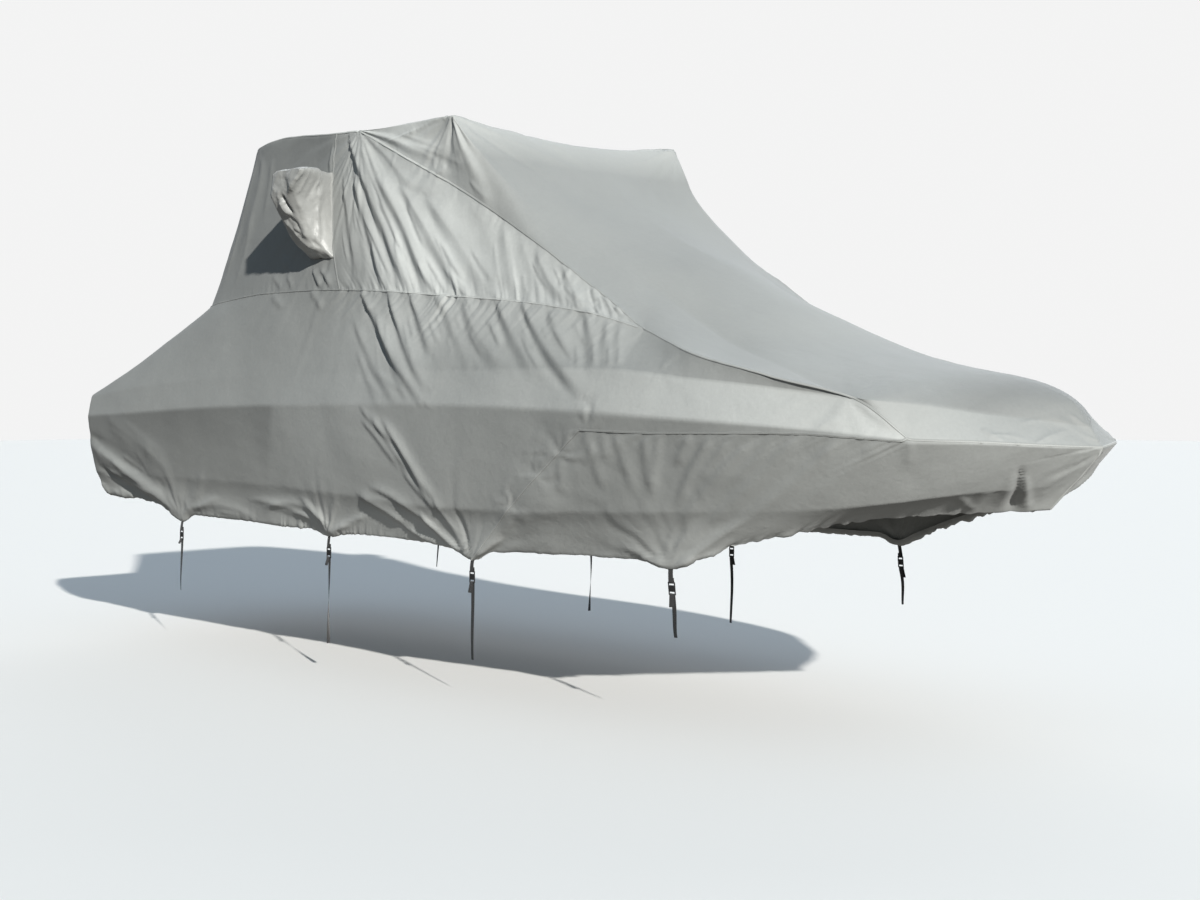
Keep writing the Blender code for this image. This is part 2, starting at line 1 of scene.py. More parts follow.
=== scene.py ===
# %% [markdown]
# # A fitted storage cover for a tow boat
# The real cover is one big tent of coated polyester. It hangs from a tower in the middle of the
# boat, runs out over the bow and the aft deck, bends over the rub rail and ends in an elastic hem.
# Eight straps pull that hem down. The boat itself isn't here, so the cover stands hollow.
#
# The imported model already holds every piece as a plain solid. This lesson keeps their places and
# makes the cloth itself: one fine skin, folded and gathered, that is then cut along its seams.

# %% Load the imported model
import json
import math

import bmesh
import bpy
import numpy as np
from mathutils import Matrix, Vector
from mathutils.kdtree import KDTree

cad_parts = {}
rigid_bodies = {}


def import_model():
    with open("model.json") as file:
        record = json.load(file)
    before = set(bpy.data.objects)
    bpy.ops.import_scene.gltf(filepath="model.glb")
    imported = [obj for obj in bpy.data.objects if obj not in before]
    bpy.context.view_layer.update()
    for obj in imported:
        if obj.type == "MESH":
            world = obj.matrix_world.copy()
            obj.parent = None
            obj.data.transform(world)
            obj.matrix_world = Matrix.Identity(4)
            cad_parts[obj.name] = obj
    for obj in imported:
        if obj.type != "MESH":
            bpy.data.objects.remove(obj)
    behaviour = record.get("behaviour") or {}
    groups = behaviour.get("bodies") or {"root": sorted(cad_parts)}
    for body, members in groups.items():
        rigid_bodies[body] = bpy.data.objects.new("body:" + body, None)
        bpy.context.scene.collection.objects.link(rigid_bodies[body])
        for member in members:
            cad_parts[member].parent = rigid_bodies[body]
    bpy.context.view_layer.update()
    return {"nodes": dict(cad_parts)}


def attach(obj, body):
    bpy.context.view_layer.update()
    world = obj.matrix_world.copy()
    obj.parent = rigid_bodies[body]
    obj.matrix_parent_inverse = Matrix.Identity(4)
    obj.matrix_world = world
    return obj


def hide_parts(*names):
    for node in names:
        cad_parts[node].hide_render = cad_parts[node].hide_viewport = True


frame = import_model()

# %% [markdown]
# ## Where the camera stands
# It stands off the starboard bow, 11 metres out, with its lens at eye height. The side of the boat
# runs away from it at 45 degrees, which shows the bow, the side and the tower's aft face at once.

# %% The camera
REST_X, REST_HEIGHT = 2.60, 3.20
EYE = Vector((8.16, -6.95, -1.60))
FOCAL_PIXELS, HORIZON_DROP = 1667, 47
IMAGE_WIDTH, IMAGE_HEIGHT, SENSOR = 1200, 900, 36
QUARTER_TURN = math.radians(45)

lens = bpy.data.cameras.new("eye")
lens.sensor_width = SENSOR
lens.lens = FOCAL_PIXELS / IMAGE_WIDTH * SENSOR
camera = bpy.data.objects.new("eye", lens)
bpy.context.scene.collection.objects.link(camera)
camera.location = EYE
tilt = math.pi / 2 - math.atan(HORIZON_DROP / FOCAL_PIXELS)
camera.rotation_euler = (tilt, 0, QUARTER_TURN)
bpy.context.scene.camera = camera
print("lens:", round(lens.lens, 2), "mm")

# %% [markdown]
# ## The lines that the cloth is stretched over
# A cover like this is drawn as a boat is: by named lines that run from the stern to the bow. Each
# row below is one point of a line: its rib, its distance from the stern, half the width there and
# the height above the ground. Ribs count from the middle of the stern (0), round the stern corner
# (2), past the upright tower seam (6) and the roof's front corner (8), to the stem (17).

# %% The named lines
RIDGE = (
    (0, 2.00, 0, 3.235), (2, 2.00, 0, 3.235), (4, 2.20, 0, 3.225), (6, 2.50, 0, 3.205),
    (7, 3.00, 0, 3.175), (8, 3.54, 0, 3.150), (8.4, 3.78, 0, 2.950), (9, 4.17, 0, 2.665),
    (10, 4.86, 0, 2.315), (11, 5.35, 0, 2.080), (12, 5.82, 0, 1.865), (13, 6.25, 0, 1.775),
    (14, 6.52, 0, 1.733), (15, 6.74, 0, 1.678), (16, 6.88, 0, 1.610), (17, 6.97, 0, 1.490),
)
SHOULDER = (
    (0, 1.23, 0, 3.250), (1, 1.24, 0.420, 3.255), (1.6, 1.28, 0.635, 3.262), (2, 1.36, 0.742, 3.270),
    (2.5, 1.54, 0.790, 3.283), (3, 1.77, 0.822, 3.290), (4, 2.02, 0.860, 3.272),
    (5, 2.25, 0.895, 3.248), (6, 2.48, 0.920, 3.228), (6.5, 2.70, 0.920, 3.222),
    (7, 3.02, 0.920, 3.213), (7.8, 3.46, 0.922, 3.216), (8, 3.55, 0.920, 3.214), (8.15, 3.63, 0.900, 3.120),
    (8.4, 3.74, 0.850, 2.975), (8.8, 3.95, 0.785, 2.765), (9.1, 4.18, 0.698, 2.570),
    (9.5, 4.42, 0.600, 2.420), (10, 4.82, 0.585, 2.185), (11, 5.37, 0.665, 1.900),
    (12, 5.83, 0.800, 1.765), (13, 6.31, 0.900, 1.625), (14, 6.50, 0.735, 1.598),
    (15, 6.66, 0.530, 1.565), (16, 6.81, 0.300, 1.530), (17, 6.97, 0, 1.490),
)
UPPER_SEAM = (
    (6.5, 2.70, 0.920, 3.222), (7, 3.05, 0.922, 3.061), (8, 3.68, 0.912, 2.761), (9, 4.31, 0.888, 2.404),
    (9.5, 4.67, 0.895, 2.182), (10, 5.08, 0.957, 1.967), (11, 5.54, 1.070, 1.826), (12, 5.93, 1.020, 1.728),
    (13, 6.31, 0.900, 1.625), (14, 6.54, 0.815, 1.440),
)
WAIST = (
    (0, 1.00, 0, 2.215), (1, 1.00, 0.550, 2.220), (1.6, 1.02, 0.810, 2.228), (2, 1.10, 0.935, 2.238),
    (3, 1.47, 1.005, 2.270), (4, 1.86, 1.045, 2.285), (5, 2.28, 1.070, 2.282), (6, 2.72, 1.080, 2.268),
    (7, 3.20, 1.080, 2.235), (8, 3.72, 1.060, 2.187), (9, 4.33, 1.020, 2.123), (9.6, 4.80, 0.985, 2.042),
    (10, 5.08, 0.957, 1.967),
)
GUNWALE = (
    (0, -0.13, 0, 1.680), (1, -0.13, 0.700, 1.675), (1.7, -0.13, 1.090, 1.668), (2, -0.09, 1.160, 1.648),
    (3, 0.55, 1.185, 1.706), (4, 1.17, 1.195, 1.740), (6, 2.40, 1.212, 1.766), (8, 3.70, 1.214, 1.776),
    (9, 4.35, 1.204, 1.776), (10, 5.09, 1.172, 1.765), (11, 5.50, 1.120, 1.724),
    (12, 5.88, 1.030, 1.682), (13, 6.31, 0.900, 1.625),
)
RUB_RAIL = (
    (0, -0.13, 0, 1.500), (1, -0.13, 0.74, 1.500), (1.7, -0.11, 1.13, 1.505), (2, -0.04, 1.220, 1.510),
    (3, 0.55, 1.240, 1.532), (4, 1.10, 1.252, 1.555), (5, 1.70, 1.264, 1.575), (6, 2.35, 1.282, 1.588),
    (8, 3.65, 1.290, 1.594), (9, 4.30, 1.286, 1.582), (10, 5.03, 1.260, 1.552),
    (11, 5.45, 1.210, 1.528), (12, 5.85, 1.115, 1.502), (13, 6.20, 0.995, 1.474),
    (14, 6.54, 0.815, 1.440), (15, 6.74, 0.605, 1.430), (16, 6.91, 0.360, 1.415), (17, 7.03, 0, 1.400),
)
KNUCKLE = (
    (0, -0.10, 0, 1.120), (1, -0.10, 0.71, 1.120), (1.7, -0.07, 1.09, 1.120), (2, 0, 1.175, 1.120),
    (4, 1.05, 1.192, 1.112), (6, 2.18, 1.205, 1.098), (7, 2.77, 1.220, 1.078), (8, 3.30, 1.222, 1.055),
    (9, 3.80, 1.220, 1.036), (10, 4.33, 1.208, 1.036), (11, 4.79, 1.170, 1.055), (12, 5.22, 1.115, 1.070),
    (13, 5.62, 1.020, 1.086), (14, 6.05, 0.860, 1.110), (15, 6.40, 0.660, 1.150), (16, 6.68, 0.390, 1.200),
    (17, 6.89, 0, 1.230),
)
HEM = (
    (0, -0.05, 0, 0.970), (1, -0.05, 0.66, 0.972), (1.7, -0.04, 1.02, 0.976), (2, 0.02, 1.100, 0.980),
    (3, 0.48, 1.100, 0.945), (3.6, 0.80, 1.100, 0.905), (4, 0.99, 1.098, 0.825), (4.3, 1.14, 1.100, 0.872),
    (5, 1.50, 1.100, 0.868), (6, 2.05, 1.100, 0.856), (6.7, 2.45, 1.100, 0.850), (7, 2.63, 1.098, 0.817),
    (7.4, 2.84, 1.100, 0.842), (9, 3.56, 1.090, 0.835), (9.6, 3.78, 1.086, 0.815), (10, 3.91, 1.080, 0.755),
    (10.4, 4.08, 1.072, 0.812), (11, 4.42, 1.052, 0.826), (12, 4.85, 1.015, 0.830), (12.6, 5.10, 0.985, 0.830),
    (13, 5.26, 0.965, 0.795), (13.3, 5.40, 0.940, 0.845), (14, 5.73, 0.850, 0.953), (15, 6.16, 0.620, 1.055),
    (16, 6.48, 0.340, 1.092), (17, 6.77, 0, 1.110),
)

# %% [markdown]
# A smooth curve goes through each line's points. It never swings past them, so a straight stretch
# stays straight and a corner stays where it was put. Where two lines meet, one follows the other.

# %% Curves through the lines
LINES = (RIDGE, SHOULDER, UPPER_SEAM, WAIST, GUNWALE, RUB_RAIL, KNUCKLE, HEM)
JOINS = ((2, 1, 0, 6.5), (2, 5, 14, 17), (3, 2, 10, 17), (4, 2, 13, 17))


def curve_through(rows):
    """The ribs, points and slopes of a curve through a line's rows."""
    table = np.array(rows, float)
    at, points = table[:, 0], table[:, 1:]
    rise = np.diff(points, axis=0) / np.diff(at)[:, None]
    before, after = rise[:-1], rise[1:]
    same_way = before * after > 0
    total = np.where(same_way, before + after, 1)
    middle = np.where(same_way, 2 * before * after / total, 0)
    return at, points, np.vstack([rise[:1], middle, rise[-1:]])


CURVES = [curve_through(rows) for rows in LINES]


def line_at(line, ribs):
    """Points of one line at many ribs: X, half width and height."""
    at, points, slopes = CURVES[line]
    k = np.clip(np.searchsorted(at, ribs, side="right") - 1, 0, len(at) - 2)
    width = (at[k + 1] - at[k])[:, None]
    t = (ribs - at[k])[:, None] / width
    start = points[k] * (2 * t**3 - 3 * t**2 + 1) + slopes[k] * width * (t**3 - 2 * t**2 + t)
    end = points[k + 1] * (3 * t**2 - 2 * t**3) + slopes[k + 1] * width * (t**3 - t**2)
    found = start + end
    for joined, other, first, last in JOINS:
        if line == joined:
            there = (ribs >= first) & (ribs <= last)
            if there.any():
                found[there] = line_at(other, ribs[there])
    return found


print("stem, at the rub rail:", line_at(5, np.array([17.0]))[0])

# %% [markdown]
# ## The skin between the lines
# Row 0 is the ridge, row 1 the shoulder, and so on down to the hem, row 7. A point between two rows
# lies on the straight line between them. Two things bend that: the ridge is rounded, and the upright
# tower seam stays upright until it nears the waist.

# %% A point of the skin, for many points at once
SEAM_RIB, SEAM_BEND, SEAM_REACH = 6, 1.5, 1.2
HEM_ROW, STEM_RIB = 7, 17
STARBOARD, PORT = -1, 1


def skin_at(ribs, rows, side):
    """The points of the smooth skin at ribs and rows, on the side or sides given."""
    ribs, rows = np.asarray(ribs, float), np.minimum(np.asarray(rows, float), HEM_ROW)
    strip = np.minimum(rows.astype(int), HEM_ROW - 1)
    share = (rows - strip)[:, None]
    upper, lower = np.zeros((len(ribs), 3)), np.zeros((len(ribs), 3))
    for k in range(HEM_ROW):
        here = strip == k
        if here.any():
            upper[here], lower[here] = line_at(k, ribs[here]), line_at(k + 1, ribs[here])
    point = upper + (lower - upper) * share
    roof, tower = strip == 0, strip == 2
    point[roof, 2] = (upper + (lower - upper) * share**2)[roof, 2]
    bend = 1 + SEAM_BEND * np.exp(-(((ribs - SEAM_RIB) / SEAM_REACH) ** 2))[:, None]
    point[tower, 0] = (upper + (lower - upper) * share**bend)[tower, 0]
    return np.column_stack((point[:, 0] - REST_X, side * point[:, 1], point[:, 2] - REST_HEIGHT))


print("roof corner:", skin_at([8], [1], STARBOARD)[0])

# %% [markdown]
# ## A fine grid for it
# The grid's cells are 7 mm wide where the tower's pleats are, and up to 25 mm on the roof. One
# `create_grid` makes them all; the lists below say how many lie between two ribs and between two
# rows. Four short rows past the hem turn the edge inwards. The skirt's seam starts below the rub rail
# and climbs to it near the bow, so one row of the grid is bent to follow it.

# %% Rows and columns of the grid
COLUMNS = ((0, 2, 32), (2, 4, 34), (4, 6, 40), (6, 10, 84), (10, 17, 26))
STRIP_ROWS = (38, 34, 80, 40, 14, 50, 20)
SKIRT_ROW = 5.16
SKIRT_SEAM_RIBS = (0, 10, 11, 12.3, 13, 14, 17)
SKIRT_SEAM_ROWS = (0.16, 0.16, 0.15, 0.065, 0.03, 0, 0)
HEM_TURN = (7.1, 7.2, 7.3, 7.5)

ribs = [0.0]
for first, last, count in COLUMNS:
    ribs += list(first + (np.arange((last - first) * count) + 1) / count)
rows = [0.0]
for strip, count in enumerate(STRIP_ROWS):
    rows += list(strip + (np.arange(count) + 1) / count)
rows = np.array(rows + list(HEM_TURN))
signed = np.array([-rib for rib in reversed(ribs)] + ribs[1:])
print("columns:", len(signed), "rows:", len(rows))

# %% Lay the grid out as the skin
sheet = bmesh.new()
bmesh.ops.create_grid(sheet, x_segments=len(signed) - 1, y_segments=len(rows) - 1, size=1)
skin = bpy.data.meshes.new("skin")
sheet.to_mesh(skin)
sheet.free()


def read_points(mesh):
    flat = np.empty(3 * len(mesh.vertices))
    mesh.vertices.foreach_get("co", flat)
    return flat.reshape(-1, 3)


def write_values(mesh, name, values):
    """A number for each vertex, kept on the mesh under a name."""
    layer = mesh.attributes.get(name) or mesh.attributes.new(name, "FLOAT", "POINT")
    layer.data.foreach_set("value", np.asarray(values, np.float32))


def read_values(mesh, name):
    flat = np.empty(len(mesh.vertices), np.float32)
    mesh.attributes[name].data.foreach_get("value", flat)
    return flat.astype(float)


def bend_rows(line, rib):
    """Grid rows to rows of the skin: the skirt's seam is bent up to the rub rail."""
    seam = np.interp(rib, SKIRT_SEAM_RIBS, SKIRT_SEAM_ROWS)
    knot = SKIRT_ROW - 5
    above = 5 + (line - 5) / knot * seam
    below = 5 + seam + (line - SKIRT_ROW) / (1 - knot) * (1 - seam)
    bent = np.where(line < SKIRT_ROW, above, below)
    return np.where((line > 5) & (line < 6), bent, line)


flat = read_points(skin)
column = np.rint((flat[:, 0] + 1) / 2 * (len(signed) - 1)).astype(int)
line = rows[np.rint((1 - flat[:, 1]) / 2 * (len(rows) - 1)).astype(int)]
rib, side = np.abs(signed[column]), np.where(signed[column] < 0, PORT, STARBOARD)
base = skin_at(rib, bend_rows(line, rib), side)
skin.vertices.foreach_set("co", base.ravel())
for name, values in (("rib", rib), ("line", line), ("side", side)):
    write_values(skin, name, values)
print("vertices:", len(skin.vertices))

# %% [markdown]
# The hem is a casing with a shock cord in it, so the cloth turns in at its edge and goes up a little
# inside. The turn is drawn across the edge: how far in and how far up each short row lies.

# %% Turn the hem in
HEM_PROFILE = ((7.1, 0.004, -0.004), (7.2, 0.009, -0.003), (7.3, 0.012, 0.006), (7.5, 0.011, 0.026))

edge = skin_at(np.abs(signed), np.full(len(signed), HEM_ROW), np.where(signed < 0, PORT, STARBOARD))
heading = np.gradient(edge[:, :2], axis=0)
heading /= np.linalg.norm(heading, axis=1)[:, None] + 1e-9
inwards = np.column_stack((-heading[:, 1], heading[:, 0], np.zeros(len(signed))))
for turned, inward, up in HEM_PROFILE:
    row = np.isclose(line, turned)
    base[row] += inwards[column[row]] * inward + np.array((0, 0, up))
skin.vertices.foreach_set("co", base.ravel())
print("hem length:", round(float(np.linalg.norm(np.diff(edge, axis=0), axis=1).sum()), 2), "m")

# %% [markdown]
# ## Which cell belongs to which panel
# Each cell gets the number of its panel as its material slot, because Blender can cut a mesh apart
# by slot in one step. The opening where a side pocket stands gets a number too, and is taken out.

# %% Number the panels
PANELS = (
    "top_cloth", "tower_aft_cloth", "tower_side_cloth_stbd", "tower_side_cloth_port",
    "side_cloth_stbd", "side_cloth_port", "bow_skirt_cloth_stbd", "bow_skirt_cloth_port",
)
POCKET_RIBS, POCKET_ROWS = (5.25, 6.0), (2.25, 2.8)
OPENING = len(PANELS)

corners = np.empty(len(skin.loops), np.int32)
skin.loops.foreach_get("vertex_index", corners)
corners = corners.reshape(-1, 4)
cell_rib, cell_line = rib[corners].mean(axis=1), line[corners].mean(axis=1)
is_port = signed[column][corners].mean(axis=1) < 0
panel = np.zeros(len(corners), np.int32)
panel[(cell_line > 2) & (cell_rib < SEAM_RIB)] = 1
panel[(cell_line > 2) & (cell_rib > SEAM_RIB)] = 2
panel[cell_line > 3] = 4
panel[(cell_line > SKIRT_ROW) & (cell_rib > 10)] = 6
panel[(panel > 1) & is_port] += 1
in_ribs = (cell_rib > POCKET_RIBS[0]) & (cell_rib < POCKET_RIBS[1])
panel[in_ribs & (cell_line > POCKET_ROWS[0]) & (cell_line < POCKET_ROWS[1])] = OPENING
skin.polygons.foreach_set("material_index", panel)
CUT_SLOTS = [bpy.data.materials.new(f"cut_{name}") for name in PANELS + ("opening",)]
for slot in CUT_SLOTS:
    skin.materials.append(slot)
print("cells in each panel:", np.bincount(panel).tolist())

# %% [markdown]
# Rows that have run together share their points now, so the skin becomes one surface with no double
# points. Its faces are turned outwards before anything is pushed along their normals.

# %% Sew the grid into one surface
MERGE = 0.0002


def sew(mesh):
    """Merges double points and turns the faces outwards."""
    work = bmesh.new()
    work.from_mesh(mesh)
    bmesh.ops.remove_doubles(work, verts=work.verts, dist=MERGE)
    bmesh.ops.dissolve_degenerate(work, edges=work.edges, dist=MERGE)
    bmesh.ops.recalc_face_normals(work, faces=work.faces)
    lowest = min(work.faces, key=lambda face: face.calc_center_median().y)
    if lowest.normal.y > 0:
        bmesh.ops.reverse_faces(work, faces=work.faces)
    work.to_mesh(mesh)
    work.free()


sew(skin)
print("sewn:", len(skin.vertices), "vertices,", len(skin.polygons), "cells")

# %% [markdown]
# ## Soften the bends
# Cloth never bends at a knife edge. Two rounds of smoothing move each point towards the middle of
# its neighbours, which rounds the bends by a cell or two. The hem's turn and the stem are left alone.
# The normals are smoothed further, so that a fold near a bend isn't pushed two ways.

# %% Smooth the skin and its normals
SHAPE_ROUNDS, SHAPE_SHARE = 2, 0.45
NORMAL_ROUNDS, NORMAL_SHARE = 8, 0.5
LAST_FREE_ROW, LAST_FREE_RIB = 6.85, 16.99


def spread(values, pairs, count, rounds, strength, free):
    """Moves each value towards the mean of its neighbours', where it is free to."""
    number = np.bincount(pairs.ravel(), minlength=count)[:, None]
    for _ in range(rounds):
        total = np.zeros_like(values)
        for axis in range(values.shape[1]):
            total[:, axis] = np.bincount(pairs[:, 0], values[pairs[:, 1], axis], count)
            total[:, axis] += np.bincount(pairs[:, 1], values[pairs[:, 0], axis], count)
        values = values + strength * free * (total / np.maximum(number, 1) - values)
    return values


def read_pairs(mesh):
    pairs = np.empty(2 * len(mesh.edges), np.int32)
    mesh.edges.foreach_get("vertices", pairs)
    return pairs.reshape(-1, 2)


def read_normals(mesh):
    flat = np.empty(3 * len(mesh.vertices))
    mesh.vertex_normals.foreach_get("vector", flat)
    return flat.reshape(-1, 3)


rib, line, side = (read_values(skin, name) for name in ("rib", "line", "side"))
drawn = read_points(skin)
pairs = read_pairs(skin)
free = ((line < LAST_FREE_ROW) & (rib < LAST_FREE_RIB)).astype(float)[:, None]
smooth = spread(drawn, pairs, len(rib), SHAPE_ROUNDS, SHAPE_SHARE, free)
smooth[np.abs(smooth[:, 1]) < MERGE, 1] = 0
skin.vertices.foreach_set("co", smooth.ravel())
skin.update()
normal = spread(read_normals(skin), pairs, len(rib), NORMAL_ROUNDS, NORMAL_SHARE, 1)
normal[np.abs(smooth[:, 1]) < MERGE, 1] = 0
normal /= np.linalg.norm(normal, axis=1)[:, None] + 1e-9
print("normals point outwards:", bool((normal[:, 1] * smooth[:, 1]).mean() > 0))

# %% [markdown]
# ## The folds
# A fold is drawn by three places, with its half width, its depth and its lean. A place is where the
# camera sees it: so far across and so far down its picture. Where the picture doesn't give the
# place, it is a rib and a row instead. A fold that leans has one steep flank and one long one, as a
# pleat that is pulled sideways has. The deepest ones fan out of the tower's top corner, because the
# cloth there hangs from one point and has to reach the whole waist seam.

# %% The folds of the starboard side
# Each row: three places, then the half width and the depth in millimetres, then the lean.
TOWER_PLEATS = (
    (342, 178, 347, 215, 354, 262, 45, 14, 0.6), (355, 172, 364, 215, 386, 289, 55, 20, 0.7),
    (6.35, 2.05, 376, 207, 408, 291, 70, 30, 0.8), (381, 176, 402, 220, 432, 293, 70, 26, 0.75),
    (402, 186, 432, 236, 464, 296, 75, 24, 0.7), (428, 198, 458, 241, 493, 298, 80, 18, 0.6),
    (6.5, 2.08, 375, 170, 392, 215, 60, 10, 0.2), (6.35, 2.05, 356, 165, 362, 200, 45, 10, 0.2),
    (503, 226, 508, 258, 514, 290, 60, 14, 0.3), (537, 250, 551, 282, 584, 310, 55, 16, 0.6),
    (563, 266, 575, 290, 588, 311, 50, 16, 0.6), (593, 289, 599, 300, 608, 314, 35, 12, 0.6),
    (604, 298, 609, 306, 617, 316, 30, 10, 0.6), (616, 308, 621, 313, 628, 319, 26, 8, 0.6),
    (470, 200, 490, 240, 503, 292, 90, 8, 0.2), (520, 238, 530, 268, 545, 300, 60, 8, 0.4),
    (396, 235, 402, 262, 412, 291, 30, 8, 0.5), (420, 262, 428, 278, 440, 294, 28, 7, 0.5),
    (372, 240, 377, 266, 384, 288, 26, 9, 0.5), (445, 268, 455, 282, 470, 297, 30, 6, 0.5),
)
WAIST_PLEATS = (
    (364, 294, 385, 340, 421, 400, 50, 20, 0.7), (389, 294, 403, 338, 426, 386, 45, 19, 0.7),
    (410, 296, 420, 321, 431, 352, 50, 18, 0.6), (438, 297, 448, 318, 454, 338, 45, 10, 0.4),
    (465, 300, 476, 333, 503, 366, 60, 14, 0.5), (498, 301, 514, 336, 534, 370, 60, 16, 0.6),
    (524, 303, 544, 343, 580, 391, 60, 22, 0.75), (549, 310, 556, 328, 570, 348, 50, 12, 0.5),
    (587, 312, 591, 339, 595, 368, 50, 16, 0.5), (608, 322, 607, 347, 610, 370, 45, 12, 0.4),
    (351, 318, 372, 362, 396, 402, 40, 10, 0.5), (356, 350, 368, 380, 378, 404, 30, 6, 0.4),
    (377, 318, 393, 360, 408, 398, 35, 10, 0.5), (452, 330, 462, 352, 470, 372, 45, 6, 0.3),
    (621, 325, 618, 345, 618, 368, 40, 8, 0.4),
)
HULL_PULLS = (
    (360, 408, 378, 425, 402, 444, 30, 7, 0.4), (363, 420, 381, 440, 400, 466, 30, 9, 0.4),
    (372, 415, 388, 438, 410, 470, 28, 8, 0.4), (384, 420, 404, 452, 430, 500, 30, 12, 0.4),
    (396, 436, 416, 468, 440, 506, 28, 9, 0.4), (359, 496, 382, 508, 404, 523, 40, 14, 0.5),
    (372, 488, 404, 505, 440, 534, 32, 12, 0.4), (404, 470, 420, 490, 437, 508, 30, 8, 0.4),
    (420, 512, 440, 532, 463, 552, 28, 14, 0.3), (404, 525, 432, 540, 463, 554, 26, 10, 0.3),
    (436, 500, 450, 524, 467, 551, 30, 12, 0.3), (504, 538, 490, 546, 476, 556, 28, 8, 0),
)
STERN_FOLDS = (
    (90, 442, 126, 471, 178, 512, 85, 36, -0.3), (97, 482, 112, 493, 134, 500, 60, 20, -0.2),
    (90, 434, 117, 456, 150, 478, 60, -22, 0), (101, 466, 134, 487, 168, 508, 50, -26, 0),
    (103, 415, 132, 436, 160, 458, 80, 10, -0.2), (140, 440, 165, 470, 180, 508, 70, 8, 0),
    (190, 509, 222, 505, 256, 519, 40, 10, 0), (264, 508, 298, 504, 329, 525, 40, 14, 0),
    (250, 500, 290, 508, 322, 528, 30, 9, 0), (350, 524, 338, 528, 330, 533, 22, 8, 0),
    (300, 497, 316, 512, 328, 530, 30, 8, 0), (220, 498, 200, 505, 184, 516, 35, 10, 0),
    (205, 470, 196, 492, 184, 514, 45, 8, 0), (366, 516, 350, 522, 334, 530, 26, 10, 0),
)
SKIRT_FOLDS = (
    (646, 434, 646, 458, 654, 494, 30, 9, 0.3), (659, 434, 657, 460, 656, 488, 26, 8, -0.2),
    (603, 432, 605, 445, 609, 458, 26, 7, 0.3), (615, 432, 624, 458, 637, 492, 30, 7, 0.3),
    (590, 440, 597, 465, 605, 488, 30, 6, 0.3), (691, 436, 684, 448, 678, 464, 28, 9, 0.3),
    (711, 438, 696, 466, 678, 506, 32, 10, 0.4), (752, 442, 718, 476, 679, 524, 36, 10, 0.4),
    (838, 437, 790, 485, 702, 550, 40, 11, 0.3), (796, 437, 764, 472, 700, 530, 38, 9, 0.3),
    (880, 440, 846, 470, 806, 500, 40, 5, 0.3), (730, 440, 716, 458, 700, 480, 30, 7, 0.3),
    (772, 440, 757, 458, 735, 482, 30, 6, 0.3), (911, 441, 909, 450, 908, 462, 16, 4, 0),
    (722, 556, 698, 560, 678, 567, 22, 9, 0), (742, 520, 708, 544, 676, 566, 26, 12, 0),
    (640, 556, 655, 560, 668, 567, 20, 8, 0), (622, 545, 646, 555, 667, 566, 22, 6, 0),
    (668, 540, 669, 553, 671, 567, 20, 6, 0),
)
BOW_FOLDS = (
    (16.07, 5.45, 16.35, 6, 16.58, 7, 18, -24, 0), (16.12, 5.5, 16.48, 6.15, 16.76, 7, 22, 14, -0.3),
    (16.04, 5.55, 16.24, 6.1, 16.42, 6.97, 16, 8, 0.3), (1098, 451, 1078, 476, 1050, 507, 12, 6, 0),
    (1090, 455, 1074, 474, 1052, 500, 12, 5, 0), (1083, 456, 1068, 473, 1050, 494, 12, 4, 0),
    (960, 497, 965, 503, 971, 509, 16, 8, 0), (1066, 470, 1050, 484, 1040, 497, 16, 4, 0),
)
BAND_CREASES = (
    (982, 428, 992, 435, 1004, 441, 18, 6, 0.2), (1036, 444, 1050, 437, 1066, 431, 18, 7, 0.2),
    (1070, 414, 1080, 422, 1092, 428, 18, 5, 0), (990, 436, 1010, 436, 1026, 442, 14, 4, 0),
    (818, 430, 826, 424, 838, 419, 18, 3, 0), (1020, 424, 1050, 420, 1076, 426, 20, 4, 0),
)
ROOF_FOLDS = (
    (452, 115, 7.67, 0.87, 7.37, 0.72, 18, 7, 0), (451, 116, 440, 126, 424, 147, 24, -10, 0),
    (454, 116, 7.87, 0.45, 606, 160, 30, 6, 0), (452, 117, 7.46, 0.32, 560, 158, 40, -6, 0),
    (446, 166, 442, 171, 437, 176, 16, 7, 0), (7.3, 1.55, 7.75, 1.6, 8, 1.65, 18, 5, 0),
    (470, 180, 478, 190, 488, 199, 18, 6, 0), (7.1, 1.3, 430, 144, 7.9, 1.55, 20, 5, 0),
    (6.8, 1.5, 410, 146, 440, 162, 26, 6, 0), (7.69, 0.7, 7.56, 0.37, 520, 150, 30, 4, 0),
    (7.26, 0.82, 412, 132, 390, 134, 22, 6, 0),
)
AFT_CREASES = (
    (312, 270, 316, 278, 321, 287, 22, 10, 0.5), (320, 268, 325, 277, 331, 288, 22, 10, 0.5),
    (272, 277, 275, 283, 280, 289, 20, 6, 0.4), (286, 275, 288, 282, 291, 289, 20, 6, 0.4),
    (5.9, 2.08, 5.9, 2.17, 5.9, 2.27, 22, 8, 0.3), (262, 160, 256, 195, 2.6, 2.7, 50, 8, 0.2),
    (272, 158, 268, 185, 262, 215, 35, 5, 0.2), (2.7, 2.45, 243, 250, 234, 285, 40, 6, 0.2),
    (270, 295, 275, 301, 281, 308, 22, 7, 0.4), (311, 292, 315, 299, 321, 309, 22, 8, 0.4),
    (361, 292, 365, 300, 371, 311, 22, 8, 0.4), (2.2, 2.05, 2.3, 2.4, 2.3, 2.85, 30, 6, 0),
    (280, 255, 285, 266, 290, 274, 30, 4, 0.2),
)
